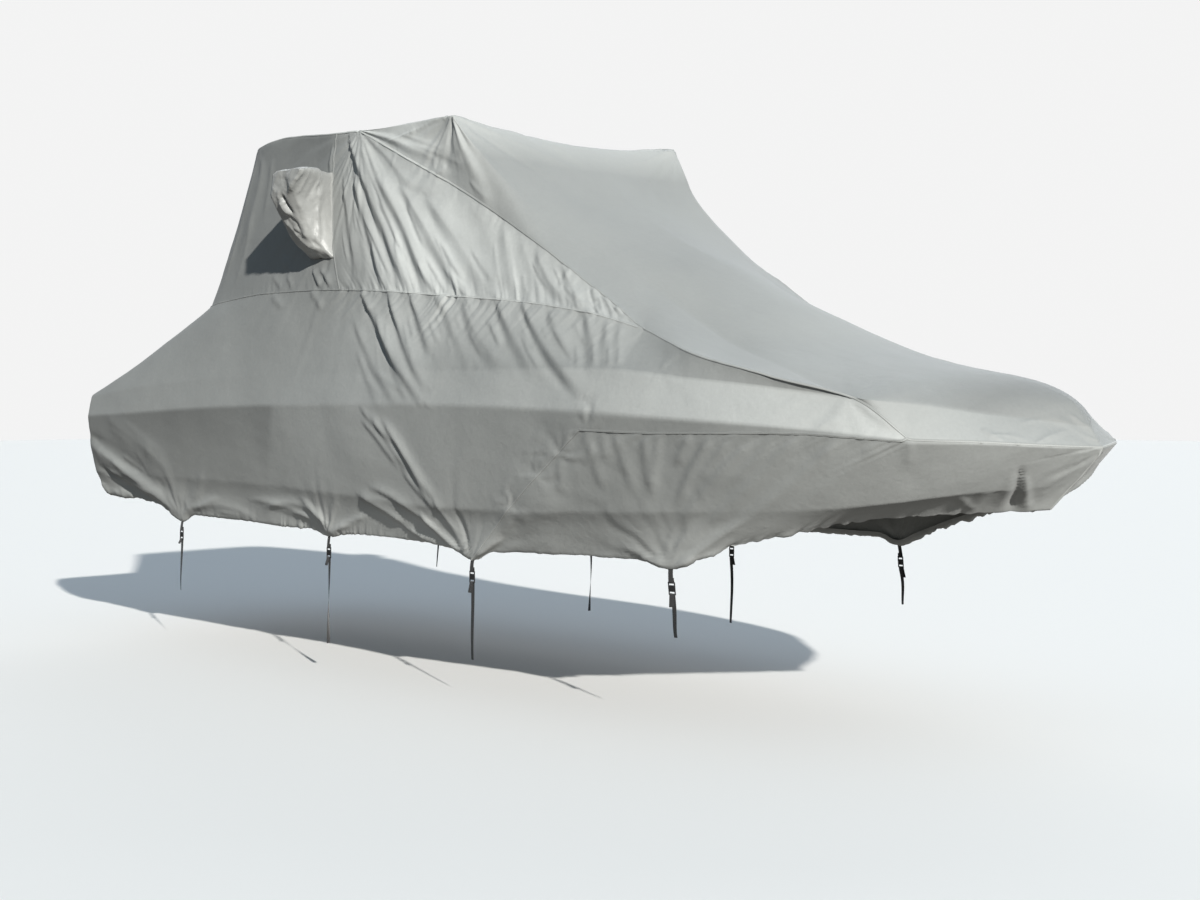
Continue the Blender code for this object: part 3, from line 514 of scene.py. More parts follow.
# Each group, the factor for its depths, and whether small folds run beside its folds.
FOLD_GROUPS = (
    (TOWER_PLEATS, 0.80, True), (WAIST_PLEATS, 0.85, True), (HULL_PULLS, 1.0, False),
    (STERN_FOLDS, 0.9, True), (SKIRT_FOLDS, 0.95, False), (BOW_FOLDS, 1.0, False),
    (BAND_CREASES, 1.2, False), (ROOF_FOLDS, 0.75, False), (AFT_CREASES, 1.1, False),
)
print("folds a side:", sum(len(group) for group, factor, beside in FOLD_GROUPS))

# %% [markdown]
# The camera's picture is turned into ribs and rows by looking at many points of the skin. Of those
# that stand at the wanted place, only the ones nearest to the lens are seen, and the best one is
# taken.

# %% From the camera's picture to the skin
SIGHT_RIBS, SIGHT_ROWS = ((1.5, 6, 120), (6, 10, 240), (10, STEM_RIB, 220)), 421
SIGHT_PIXELS, TIE_PIXELS, FRONT_DEPTH = 1.5, 0.3, 0.12

sight_ribs = np.unique(np.concatenate([np.linspace(*stretch) for stretch in SIGHT_RIBS]))
sight_grid = np.meshgrid(sight_ribs, np.linspace(0, HEM_ROW, SIGHT_ROWS))
seen_ribs, seen_rows = (part.ravel() for part in sight_grid)
from_lens = (skin_at(seen_ribs, seen_rows, STARBOARD) - EYE) @ np.array(camera.rotation_euler.to_matrix())
far_off = -from_lens[:, 2]
seen_across = IMAGE_WIDTH / 2 + FOCAL_PIXELS * from_lens[:, 0] / far_off
seen_down = IMAGE_HEIGHT / 2 - FOCAL_PIXELS * from_lens[:, 1] / far_off


def on_skin(first, second):
    """The rib and row of a place, which is in the camera's picture if it lies past the last rib."""
    if first <= STEM_RIB:
        return first, second
    off = np.hypot(seen_across - first, seen_down - second)
    near = np.flatnonzero(off < max(SIGHT_PIXELS, off.min() + TIE_PIXELS))
    front = near[far_off[near] < far_off[near].min() + FRONT_DEPTH]
    best = front[off[front].argmin()]
    return round(float(seen_ribs[best]), 2), round(float(seen_rows[best]), 2)


def fold_on_skin(fold):
    """A row of the tables with its places as ribs and rows, and its sizes in metres."""
    places = [value for k in (0, 2, 4) for value in on_skin(*fold[k : k + 2])]
    return (*places, fold[6] / 1000, fold[7] / 1000, fold[8])


print("the roof corner in the picture is at rib and row", on_skin(452, 116))

# %% [markdown]
# The push of one fold is worked out only for the points near it. Each point finds the nearest
# stretch of the fold's curve and its distance to the front or the back of it. The port side has the
# same folds, but each is moved and scaled a little by chance, because no two sides hang alike.

# %% A ripple of chance heights
def ripple(at, seed):
    """A smooth curve of chance heights from -1 to 1, one every whole number."""
    heights = np.random.default_rng(seed).uniform(-1, 1, 1024)
    whole = np.floor(at).astype(int)
    part = at - whole
    part = part * part * (3 - 2 * part)
    return heights[whole % 1024] * (1 - part) + heights[(whole + 1) % 1024] * part


# %% How a fold pushes the cloth
CURVE_STEPS = 16
OVERHANG = 0.25


def fold_curve(fold, side, chance):
    """The curve of a fold on one side, through its three points."""
    ends = np.array(fold[:6]).reshape(3, 2)
    if side == PORT:
        ends[:, 0] += chance.uniform(-0.12, 0.12)
        ends[:, 0] = np.clip(ends[:, 0], 0.05, 16.95)
    start, middle, end = skin_at(ends[:, 0], ends[:, 1], side)
    t = np.linspace(0, 1, CURVE_STEPS + 1)[:, None]
    return start * (1 - t) * (1 - 2 * t) + middle * 4 * t * (1 - t) + end * t * (2 * t - 1)


def flank(away, lean):
    """The height of a fold across it, from its steep flank to its long one."""
    steep, long = 1 - 0.62 * abs(lean), 1 + 0.55 * abs(lean)
    away = away * (1 if lean >= 0 else -1)
    ridge = np.exp(-np.abs(np.where(away < 0, away / steep, away / long)) ** 1.5)
    groove = 0.45 * abs(lean) * np.exp(-(((away + 1.5 * steep) / (0.7 * steep)) ** 2))
    return ridge - groove


def add_fold(push, slide, points, normals, fold, factor, side, chance):
    """Adds one fold's push to the points near it, and the slide that lays a leaning fold over."""
    width, depth, lean = fold[6], fold[7] * factor, fold[8]
    if side == PORT:
        width, depth = width * chance.uniform(0.85, 1.2), depth * chance.uniform(0.6, 1.1)
    curve = fold_curve(fold, side, chance)
    reach = 3.4 * width
    near = np.all((points > curve.min(axis=0) - reach) & (points < curve.max(axis=0) + reach), axis=1)
    near = np.flatnonzero(near)
    if not len(near):
        return
    place = points[near][:, None, :]
    begin, run = curve[:-1], np.diff(curve, axis=0)
    along = np.clip(((place - begin) * run).sum(-1) / (run**2).sum(-1), 0, 1)
    off = place - begin - run * along[..., None]
    distance = np.linalg.norm(off, axis=-1)
    best = distance.argmin(axis=1)
    rows = np.arange(len(near))
    t = (best + along[rows, best]) / CURVE_STEPS
    ahead = np.cross(normals[near], run[best]) * -side
    sign = np.sign((ahead * off[rows, best]).sum(-1))
    spread_out = width * (0.55 + 0.45 * np.minimum(1, 2 * t))
    fade = np.minimum(1, 0.2 + 5 * t) * np.minimum(1, 0.25 + 4.5 * (1 - t))
    away = sign * distance[rows, best] / spread_out
    uneven = 1 + 0.15 * ripple(4 * t + 40 * fold[0], 11) * np.minimum(1, 4 * t)
    push[near] += depth * fade * uneven * flank(away, lean)
    ahead /= np.linalg.norm(ahead, axis=1)[:, None] + 1e-9
    slide[near] -= ahead * (OVERHANG * lean * depth * fade * np.exp(-(away**2)))[:, None]


def small_folds(fold, chance):
    """Two small folds that start beside a large one and run nearly along it."""
    ends = np.array(fold[:6]).reshape(3, 2)
    made = []
    for way in (-1, 1):
        first, last = np.sort(chance.uniform(0.1, 0.95, 2))
        at = np.linspace(first, max(last, first + 0.35), 3)[:, None]
        track = ends[0] + (ends[2] - ends[0]) * at + (ends[1] - ends.mean(axis=0)) * 1.2 * at * (1 - at)
        track[:, 0] += way * fold[6] * chance.uniform(2.2, 3.4)
        made.append((*track.ravel(), 0.35 * fold[6], 0.28 * abs(fold[7]), fold[8]))
    return made


# %% [markdown]
# ## Gathers, pulls and waves
# Where a long edge is sewn to a shorter one, the spare cloth stands in short ridges across the seam.
# They are made by a ripple: a smooth line of chance heights, read by the distance along the seam, and
# fading away from it. The stitches hold the seam itself flat. Round a strap the same ripple is read
# by the angle, so the wrinkles point at it. Last come slow waves, which keep the wide stretches of
# cloth from looking drawn with a ruler.

# %% Gathers along the seams
# Gathers: row of the seam, first and last rib, above (-1) or below (1), reach, depth, spacing, slant.
GATHERS = (
    (3, 2.5, 6.0, -1, 0.045, 0.0040, 0.030, 0.5),
    (3, 2.5, 6.0, 1, 0.050, 0.0045, 0.034, 0.5),
    (3, 5.8, 9.9, -1, 0.090, 0.0085, 0.028, 0.5),
    (3, 5.8, 9.9, 1, 0.100, 0.0080, 0.030, 0.5),
    (3, 5.8, 9.9, 1, 0.030, 0.0040, 0.013, 0.2),
    (3, 5.8, 9.9, -1, 0.025, 0.0040, 0.012, 0.2),
    (SKIRT_ROW, 10, 14.2, 1, 0.110, 0.0065, 0.026, 0.4),
    (SKIRT_ROW, 10.4, 14.2, 1, 0.035, 0.0034, 0.014, 0.0),
    (SKIRT_ROW, 11, 14.2, -1, 0.026, 0.0050, 0.016, 0.0),
    (SKIRT_ROW, 14.2, 16.9, 1, 0.020, 0.0020, 0.030, 0.0),
    (2, 6.2, 13, 1, 0.055, 0.0045, 0.036, 0.3),
    (2, 6.2, 13, -1, 0.030, 0.0015, 0.030, 0.0),
    (HEM_ROW, 0.0, 4.0, -1, 0.050, 0.0050, 0.040, 0.0),
    (HEM_ROW, 4.0, 13.0, -1, 0.050, 0.0036, 0.034, 0.0),
    (HEM_ROW, 13.0, 14.2, -1, 0.070, 0.0140, 0.036, 0.3),
    (HEM_ROW, 13.9, 16.3, -1, 0.110, 0.0260, 0.042, 0.3),
)
SEAM_HOLD = 0.008  # how near the stitches hold the cloth flat
SEAM_POINTS = 400


def add_gathers(push, points, rib, line, side, gather, seed):
    """Adds the short ridges across one seam."""
    row, first, last, facing, reach, depth, spacing, slant = gather
    at = np.linspace(first, last, SEAM_POINTS)
    for way in (STARBOARD, PORT):
        track = skin_at(at, bend_rows(np.full(SEAM_POINTS, float(row)), at), way)
        run = np.append(0, np.cumsum(np.linalg.norm(np.diff(track, axis=0), axis=1)))
        beyond = (line - row) * facing
        in_reach = line > HEM_ROW - 1 if row == HEM_ROW else (beyond >= -0.001) & (beyond < 1)
        near = np.flatnonzero((side == way) & (rib >= first) & (rib <= last) & in_reach)
        seam = np.column_stack([np.interp(rib[near], at, track[:, k]) for k in range(3)])
        away = np.linalg.norm(points[near] - seam, axis=1)
        along = np.interp(rib[near], at, run) + slant * away
        seed_here = seed + (50 if way == PORT else 0)
        ends = np.clip(np.minimum(rib[near] - first, last - rib[near]) / 0.35, 0, 1)
        length = reach * (1 + 0.7 * ripple(along / spacing / 1.7, seed_here + 1))
        height = ripple(along / spacing, seed_here) + 0.5 * ripple(2.1 * along / spacing, seed_here + 2)
        calm = 0.65 + 0.45 * ripple(along / spacing / 6, seed_here + 3)
        held = 1 if row == HEM_ROW else away / (away + SEAM_HOLD)
        push[near] += depth * ends * calm * held * height * np.exp(-((away / length) ** 1.4))


# %% [markdown]
# The lower diagonal seam runs down the side to the third strap. Its cloth is puckered in a few tight
# knots, where the sewing has drawn up. A pull is a set of wrinkles that all point at one place.

# %% Pulls round a point
# Pulls: rib and row of the point, reach, depth, wrinkles in a full turn.
PULLS = (
    (4, 7.0, 0.26, 0.0060, 30), (7, 7.0, 0.30, 0.0070, 34), (10, 7.0, 0.34, 0.0080, 38),
    (13, 7.0, 0.34, 0.0080, 38), (6.5, 2.0, 0.85, 0.0075, 84), (8, 1.0, 0.50, 0.0100, 44),
    (8, 0.95, 0.20, 0.0080, 30), (2.2, 1.0, 0.22, 0.0040, 16), (10, 5.95, 0.14, 0.0110, 16),
    (10, 5.60, 0.09, 0.0080, 14), (10.05, 5.40, 0.13, 0.0110, 16), (10.1, 5.16, 0.10, 0.0080, 14),
    (9.6, 2.2, 0.12, 0.0050, 14), (16.9, 5.0, 0.30, 0.0050, 30), (10, 2.0, 0.20, 0.0025, 14),
    (7.6, 1.95, 0.10, 0.0050, 12), (10.6, 4.0, 0.16, 0.0040, 14), (12.9, 2.6, 0.30, 0.0050, 30),
)


def add_pull(push, points, normals, pull, side, seed):
    """Adds wrinkles that point at one place of one side."""
    rib, row, reach, depth, count = pull
    centre = skin_at([rib], [row], side)[0]
    near = np.flatnonzero(np.linalg.norm(points - centre, axis=1) < 2.6 * reach)
    if not len(near):
        return
    away = points[near] - centre
    facing = normals[near].mean(axis=0)
    facing /= np.linalg.norm(facing)
    first = np.cross((0, 0, 1), facing)
    first /= np.linalg.norm(first) + 1e-9
    second = np.cross(facing, first)
    angle = np.arctan2(away @ second, away @ first) / (2 * math.pi) * count
    far = np.linalg.norm(away, axis=1)
    seed += 100 if side == PORT else 0
    height = ripple(angle + 40 + 0.6 * ripple(far / reach * 3, seed + 1), seed)
    length = reach * (1 + 0.6 * ripple(angle * 0.7 + 20, seed + 2))
    push[near] += depth * height * far / (far + 0.03) * np.exp(-((far / length) ** 1.6))


def waves(points, length, seed, count=14):
    """Slow waves of about one length, running in chance directions."""
    chance = np.random.default_rng(seed)
    total = np.zeros(len(points))
    for _ in range(count):
        way = chance.normal(size=3)
        way *= 2 * math.pi / length / np.linalg.norm(way) * chance.uniform(0.6, 1.5)
        total += np.sin(points @ way + chance.uniform(0, 2 * math.pi))
    return total / math.sqrt(count)


# %% [markdown]
# ## Push the cloth out
# All the pushes are added up and each point moves along its normal. Points on the middle line stay
# on it, so that the two sides stay joined.

# %% Fold, gather and wave the skin
BELLY = ((2, -0.016), (3, -0.012), (5, 0.012), (6, -0.004))
FULL_BELLY_HEIGHT = 0.35
WAVES = ((0.75, 0.0042), (0.30, 0.0010), (0.11, 0.0004))

push, slide = np.zeros(len(smooth)), np.zeros((len(smooth), 3))
chance = np.random.default_rng(7)
for group, factor, beside in FOLD_GROUPS:
    for fold in map(fold_on_skin, group):
        for way in (STARBOARD, PORT):
            add_fold(push, slide, smooth, normal, fold, factor, way, chance)
            if beside:
                for small in small_folds(fold, chance):
                    add_fold(push, slide, smooth, normal, small, factor, way, chance)
for number, gather in enumerate(GATHERS):
    add_gathers(push, smooth, rib, line, side, gather, 300 + 5 * number)
for number, pull in enumerate(PULLS):
    for way in (STARBOARD, PORT):
        add_pull(push, smooth, normal, pull, way, 700 + 3 * number)
for strip, swell in BELLY:
    share = np.clip(line - strip, 0, 1)
    height = np.linalg.norm(line_at(strip + 1, rib) - line_at(strip, rib), axis=1)
    push += swell * 4 * share * (1 - share) * np.minimum(1, height / FULL_BELLY_HEIGHT)
for length, height in WAVES:
    push += height * waves(smooth, length, int(1000 * length))
folded = smooth + normal * push[:, None] + slide
folded[np.abs(smooth[:, 1]) < MERGE, 1] = 0
skin.vertices.foreach_set("co", folded.ravel())
skin.update()
print("deepest push in and out:", np.round((push.min(), push.max()), 3))

# %% [markdown]
# ## Find a place on the folded skin
# Seams, straps and pockets are fitted to the folded cloth, so the lesson needs to look places up. A
# k-d tree holds the skin as it was drawn: it takes a rib and a row to the same point after folding.

# %% Look up points of the folded skin
drawn_tree = KDTree(len(drawn))
for number, point in enumerate(drawn):
    drawn_tree.insert(point, number)
drawn_tree.balance()


def folded_at(ribs, rows, way):
    """The folded points and their normals at the grid's ribs and rows."""
    places = skin_at(ribs, bend_rows(np.asarray(rows, float), np.asarray(ribs, float)), way)
    found = np.array([drawn_tree.find(place)[1] for place in places])
    return folded[found], normal[found]


print("stern strap's hem point:", np.round(folded_at([4], [7], STARBOARD)[0][0], 3))

# %% [markdown]
# ## A map of the cloth
# A weave has to follow the cloth, not the air around it. So each point gets two distances: how far
# it lies along the boat, and how far down the cloth. They become the UV map, in metres.

# %% Measure the cloth along and down, for its UV map
column_ribs = np.array(ribs)
rail = line_at(5, column_ribs)
rail_length = np.append(0, np.cumsum(np.linalg.norm(np.diff(rail, axis=0), axis=1)))
down_lines = [line_at(k, rib) for k in range(HEM_ROW + 1)]
down_length = [np.zeros(len(rib))]
for above, below in zip(down_lines, down_lines[1:]):
    down_length.append(down_length[-1] + np.linalg.norm(below - above, axis=1))
down_length = np.array(down_length)
whole = np.minimum(line.astype(int), HEM_ROW - 1)
each = np.arange(len(rib))
down = down_length[whole, each]
down += (down_length[whole + 1, each] - down) * (line - whole)
along = np.interp(rib, column_ribs, rail_length) * -side
uv_points = np.column_stack((along, -down))

loops = np.empty(len(skin.loops), np.int32)
skin.loops.foreach_get("vertex_index", loops)
uv_loops = uv_points[loops]
starts = np.array([cell.loop_start for cell in skin.polygons])
sizes = np.array([cell.loop_total for cell in skin.polygons])
faces_side = np.sign(np.add.reduceat(smooth[loops, 1], starts))
uv_loops[:, 0] = np.abs(uv_loops[:, 0]) * np.repeat(-faces_side, sizes)
layer = skin.uv_layers.new(name="cloth")
layer.uv.foreach_set("vector", uv_loops.astype(np.float32).ravel())
print("cloth runs", round(float(np.ptp(along)), 2), "m round and", round(float(down.max()), 2), "m down")

# %% [markdown]
# ## Painted light and shade on the cloth
# The cloth's grey is scaled by a table of tones, by rib and row: below 1 for darker cloth and above it
# for paler. It paints light and shade onto the cover, as well as some of the cloth's wear. Its rows
# come in pairs, just above and just below a seam, so that a panel can end sharply. Each point keeps its
# own tone for the cloth's material to read.

# %% Painted light and shade for each point
# Painted light and shade, with some wear: the tower's aft panel, the front of the top and the hull below the
# rub rail are painted darker, as if in shade; the tower side, the roof by the tower's corner and the cloth
# below the knuckle are painted paler, as if lit.
PAINTED_LIGHT_RIBS = (0, 4, 5.9, 6.0, 6.5, 7.2, 7.9, 8.4, 10, 11, 13, 13.9, 15, 17)
# Rows: row, then the tone at each of the ribs.
PAINTED_LIGHT_TONES = (
    (0.0, .80, .80, .80, .82, 1.10, 1.26, .86, .54, .56, .61, .64, .58, .46, .50),
    (0.96, .78, .78, .78, .80, 1.10, 1.30, .88, .54, .56, .62, .64, .58, .46, .50),
    (1.06, .76, .76, .76, .80, 1.10, 1.30, .88, .54, .56, .62, .64, .65, .66, .57),
    (1.99, .74, .74, .76, .80, 1.12, 1.32, .90, .54, .56, .64, .64, .72, .71, .61),
    (2.01, .50, .50, .52, .54, .82, 1.05, 1.06, .90, .66, .62, .62, .74, .75, .65),
    (2.99, .54, .54, .54, .54, .70, 1.08, 1.10, .94, .68, .62, .62, .74, .75, .65),
    (3.02, .56, .58, .57, .58, .68, .82, .88, .80, .64, .58, .56, .74, .75, .67),
    (3.97, .56, .58, .57, .58, .62, .66, .64, .60, .56, .56, .56, .74, .75, .67),
    (4.03, .56, .58, .57, .58, .64, .68, .68, .70, .78, .84, .86, .86, .85, .80),
    (4.97, .54, .60, .60, .62, .64, .67, .69, .72, .80, .86, .88, .90, .88, .82),
    (5.03, .44, .38, .48, .62, .70, .73, .70, .66, .58, .57, .62, .70, .74, .74),
    (6.00, .54, .58, .68, .74, .78, .78, .78, .80, .80, .70, .70, .74, .76, .76),
    (6.40, .80, .84, .90, .96, 1.0, 1.10, 1.18, 1.25, 1.25, 1.05, .92, .88, .86, .82),
    (7.50, .80, .90, 1.0, 1.1, 1.15, 1.2, 1.28, 1.35, 1.35, 1.1, .94, .92, .90, .84),
)


def painted_light_at(ribs, rows):
    """The tone at each rib and row, from the table."""
    table = np.array(PAINTED_LIGHT_TONES)
    levels = table[:, 0]
    by_row = np.array([np.interp(ribs, PAINTED_LIGHT_RIBS, entry[1:]) for entry in table])
    above = np.clip(np.searchsorted(levels, rows, side="right") - 1, 0, len(levels) - 2)
    share = np.clip((rows - levels[above]) / (levels[above + 1] - levels[above]), 0, 1)
    each = np.arange(len(ribs))
    return by_row[above, each] * (1 - share) + by_row[above + 1, each] * share


# Each point's painted light and shade, with some wear, from the table.
tone = painted_light_at(rib, line)
write_values(skin, "tone", tone)
for name in ("rib", "side", "line"):
    skin.attributes.remove(skin.attributes[name])
print("tones from", round(float(tone.min()), 2), "to", round(float(tone.max()), 2))

# %% [markdown]
# ## Cut the skin into its panels
# `separate` by material does in one step what a maker's shears do: every slot becomes a piece.

# %% Separate the panels
whole_cover = bpy.data.objects.new("whole_cover", skin)
bpy.context.scene.collection.objects.link(whole_cover)
skin.shade_smooth()
bpy.context.view_layer.objects.active = whole_cover
whole_cover.select_set(True)
bpy.ops.object.mode_set(mode="EDIT")
bpy.ops.mesh.select_all(action="SELECT")
bpy.ops.mesh.separate(type="MATERIAL")
bpy.ops.object.mode_set(mode="OBJECT")
cut = [item for item in bpy.context.scene.objects if item.name.startswith("whole_cover")]
panels = {}
for piece in cut:
    name = piece.data.materials[0].name.removeprefix("cut_")
    if name == "opening":
        bpy.data.objects.remove(piece, do_unlink=True)
        continue
    piece.data.materials.clear()
    piece.name = piece.data.name = name
    panels[name] = piece
    piece.select_set(False)
for slot in CUT_SLOTS:
    bpy.data.materials.remove(slot)
for name, piece in panels.items():
    print(name, "cells:", len(piece.data.polygons))

# %% [markdown]
# ## Seams
# A lapped seam is four layers of cloth with two rows of stitches. It is 13 mm wide, stands 3 mm
# proud and catches the light as a thin line. Each seam is a strip that follows the folded skin: a
# grid with a rounded section, laid along a row of the skin's own points.

# %% A strip along the cloth
SEAM_WIDTH, SEAM_RISE, SEAM_STEP = 0.013, 0.0030, 0.002
SEAM_SECTION = ((-1, -0.6), (-0.72, 0.75), (-0.35, 1.0), (0, 0.55), (0.35, 1.0), (0.72, 0.75), (1, -0.6))


def add_piece(name, work):
    """A new object from a finished bmesh."""
    mesh = bpy.data.meshes.new(name)
    work.to_mesh(mesh)
    work.free()
    mesh.shade_smooth()
    piece = bpy.data.objects.new(name, mesh)
    bpy.context.scene.collection.objects.link(piece)
    return piece


def lay_grid(columns, lines, place, tones=None):
    """A grid laid out by `place`, which gives each point and its spot on the map."""
    work = bmesh.new()
    layer = work.loops.layers.uv.new("cloth")
    # A layer for the painted light and shade of each point, where it is given.
    variation = None if tones is None else work.verts.layers.float.new("tone")
    bmesh.ops.create_grid(work, x_segments=columns, y_segments=lines, size=1)
    spots = {}
    for vertex in work.verts:
        k, j = round((vertex.co.x + 1) / 2 * columns), round((vertex.co.y + 1) / 2 * lines)
        vertex.co, spots[vertex.index] = place(k, j)
        if variation:
            vertex[variation] = tones[k]
    for face in work.faces:
        for loop in face.loops:
            loop[layer].uv = spots[loop.vert.index]
    return work


def strip(name, points, normals, tones):
    """A raised strip of cloth along a track, with the painted light and shade of the cloth there."""
    apart = np.append(True, np.linalg.norm(np.diff(points, axis=0), axis=1) > SEAM_STEP)
    points, normals, tones = points[apart], normals[apart], tones[apart]
    across = np.cross(normals, np.gradient(points, axis=0))
    across /= np.linalg.norm(across, axis=1)[:, None] + 1e-9
    run = np.append(0, np.cumsum(np.linalg.norm(np.diff(points, axis=0), axis=1)))

    def place(k, j):
        off, high = SEAM_SECTION[j]
        off *= SEAM_WIDTH / 2
        return points[k] + across[k] * off + normals[k] * high * SEAM_RISE, (run[k], off)

    work = lay_grid(len(points) - 1, len(SEAM_SECTION) - 1, place, tones)
    work.normal_update()
    work.faces.ensure_lookup_table()
    middle = work.faces[len(work.faces) // 2]
    if middle.normal.dot(Vector(normals[len(points) // 2])) < 0:
        bmesh.ops.reverse_faces(work, faces=work.faces)
    return add_piece(name, work)


# %% The seams of both sides
def between(first, last):
    return column_ribs[(column_ribs >= first - 1e-6) & (column_ribs <= last + 1e-6)]


# Seams that run along a row: name, row, first and last rib.
ROW_SEAMS = (
    ("waist_seam", 3, 0, 9.95), ("diagonal_seam", 2, 6.5, 14.0), ("roof_seam", 2, 0, 6.5),
    ("rail_seam", SKIRT_ROW, 10, 17),
)
# Seams that run down a rib: name, rib, first and last row.
RIB_SEAMS = (("tower_seam", 6, 2, 3), ("skirt_seam", 10, SKIRT_ROW, 7))

SEAM_SIDE = 0.05

seams = []
for way, end in ((STARBOARD, "stbd"), (PORT, "port")):
    for name, row, first, last in ROW_SEAMS:
        at = between(first, last)
        level = np.full(len(at), float(row))
        seams.append(strip(f"{name}_{end}", *folded_at(at, level, way), painted_light_at(at, level - SEAM_SIDE)))
    for name, at_rib, first, last in RIB_SEAMS:
        down_rows = rows[(rows >= first) & (rows <= last)]
        at = np.full(len(down_rows), float(at_rib))
        seams.append(strip(f"{name}_{end}", *folded_at(at, down_rows, way), painted_light_at(at, down_rows)))
stem_rows = rows[(rows >= 5) & (rows <= 7)]
at = np.full(len(stem_rows), 17.0)
seams.append(strip("stem_seam", *folded_at(at, stem_rows, STARBOARD), painted_light_at(at, stem_rows)))
print("seams:", len(seams))

# %% [markdown]
# ## The side pockets
# A pocket of thin silver cloth stands out of each upper corner, over something that the tower holds
# out there. It is a bag: rings run from its root at the opening out to a closed end. Each ring is a
# rounded rectangle that leans, and creases run over it because it is cut too big for what it holds.

# %% Rings of a pocket
# Sections: half width and height of the top and of the bottom, aft X, fore X at the top and bottom.
POCKET_SECTIONS = (
    (1.030, 2.975, 1.085, 2.485, 2.345, 2.510, 2.590),
    (1.100, 2.998, 1.140, 2.545, 2.345, 2.580, 2.545),
    (1.170, 2.990, 1.190, 2.615, 2.345, 2.620, 2.500),
    (1.240, 2.984, 1.245, 2.700, 2.345, 2.650, 2.480),
    (1.300, 2.970, 1.300, 2.800, 2.350, 2.665, 2.480),
)
POCKET_ROUND, POCKET_RINGS, END_RINGS = 120, 44, 14
POCKET_TUCK, POCKET_MAP = 0.004, (1.4, 0.6)


def box_place(angle, corner=7):
    """A place on a rounded square, 0 to 1 across and down, at an angle."""
    x, y = np.cos(angle), np.sin(angle)
    size = (np.abs(x) ** corner + np.abs(y) ** corner) ** (1 / corner)
    return 0.5 + 0.5 * x / size, 0.5 - 0.5 * y / size


def pocket_point(share, across, down, way):
    """A point of the pocket, share of the way out."""
    at = np.linspace(0, 1, len(POCKET_SECTIONS))
    values = [np.interp(share, at, column) for column in np.array(POCKET_SECTIONS).T]
    half_top, top, half_bottom, bottom, aft, fore_top, fore_bottom = values
    half = half_top + (half_bottom - half_top) * down
    fore = fore_top + (fore_bottom - fore_top) * down
    x = aft + (fore - aft) * across
    return np.column_stack((x - REST_X, way * half, top + (bottom - top) * down - REST_HEIGHT))


def pocket_rings(way):
    """All rings of a pocket: the root, the way out, and the closing end."""
    angle = np.linspace(0, 2 * math.pi, POCKET_ROUND, endpoint=False)
    across, down = box_place(angle)
    square_across, square_down = box_place(angle, 30)
    rib_at = POCKET_RIBS[0] + (POCKET_RIBS[1] - POCKET_RIBS[0]) * square_across
    row_at = POCKET_ROWS[0] + (POCKET_ROWS[1] - POCKET_ROWS[0]) * square_down
    root, root_normal = folded_at(rib_at, row_at, way)
    rings = [root - root_normal * POCKET_TUCK, root + root_normal * 0.002]
    for share in np.linspace(0, 1, POCKET_RINGS):
        ring = pocket_point(share, across, down, way)
        near = max(0, 1 - share * 5)
        rings.append(ring * (1 - near) + (root + root_normal * 0.01) * near)
    last = rings[-1]
    middle = last.mean(axis=0)
    for share in np.linspace(0, 1, END_RINGS + 1)[1:]:
        bulge = np.array((0, way * 0.010 * (1 - (1 - share) ** 2), 0))
        rings.append(middle + (last - middle) * (1 - share) + bulge)
    return rings


print("pocket rings:", len(pocket_rings(STARBOARD)), "of", POCKET_ROUND)

# %% Creases of a pocket
# Creases: three places, each an angle in turns and a share of the way out (past 1 it is on the
# closed end), then half width and depth. The deepest is an open fold below the outer corner.
POCKET_CREASES = (
    (0.139, 0.85, 0.036, 1.0, -0.114, 1.0, 0.016, 0.014),
    (0.114, 0.62, 0.053, 0.73, -0.047, 0.83, 0.012, 0.008),
    (0.1, 0.12, 0.086, 0.16, 0.042, 0.34, 0.014, -0.014),
    (0.092, 0.10, 0.067, 0.15, 0.025, 0.22, 0.014, 0.012),
    (0.039, 0.15, -0.019, 0.20, -0.078, 0.14, 0.014, 0.013),
    (0.011, 0.08, -0.047, 0.06, -0.114, 0.10, 0.010, -0.012),
    (0.8, 1.3, 0.844, 0.93, 0.878, 0.75, 0.011, -0.034),
    (0.775, 1.0, 0.781, 0.88, 0.825, 0.75, 0.022, 0.022),
    (0.678, 0.7, 0.744, 0.55, 0.789, 0.38, 0.014, 0.013),
    (0.8, 0.8, 0.858, 0.62, 0.842, 0.33, 0.014, -0.012),
    (0.747, 0.45, 0.814, 0.2, 0.864, 0.1, 0.018, 0.013),
    (0.867, 0.28, 0.872, 0.12, 0.864, 0.05, 0.012, -0.012),
    (0.939, 0.12, 0.914, 0.14, 0.856, 0.20, 0.014, 0.012),
    (0.378, 1.4, 0.1, 1.9, -0.147, 1.2, 0.016, -0.009),
    (0.483, 1.2, 0.669, 1.5, 0.769, 0.95, 0.014, 0.008), (0.95, 0.75, 0.928, 0.5, 0.894, 0.3, 0.018, 0.007),
    (0.1, 0.3, 0.042, 0.45, -0.033, 0.6, 0.016, -0.008),
    (0.772, 0.6, 0.842, 0.5, 0.869, 0.35, 0.012, 0.009),
)


def pocket_place(turn, share, way):
    """A place on a pocket, on its way out or on its closed end."""
    across, down = box_place(np.array([turn * 2 * math.pi]))
    if share <= 1:
        return pocket_point(share, across, down, way)[0]
    ring_across, ring_down = box_place(np.linspace(0, 2 * math.pi, 24, endpoint=False))
    middle = pocket_point(1, ring_across, ring_down, way).mean(axis=0)
    place = pocket_point(1, across, down, way)[0]
    return place + (middle - place) * (share - 1)


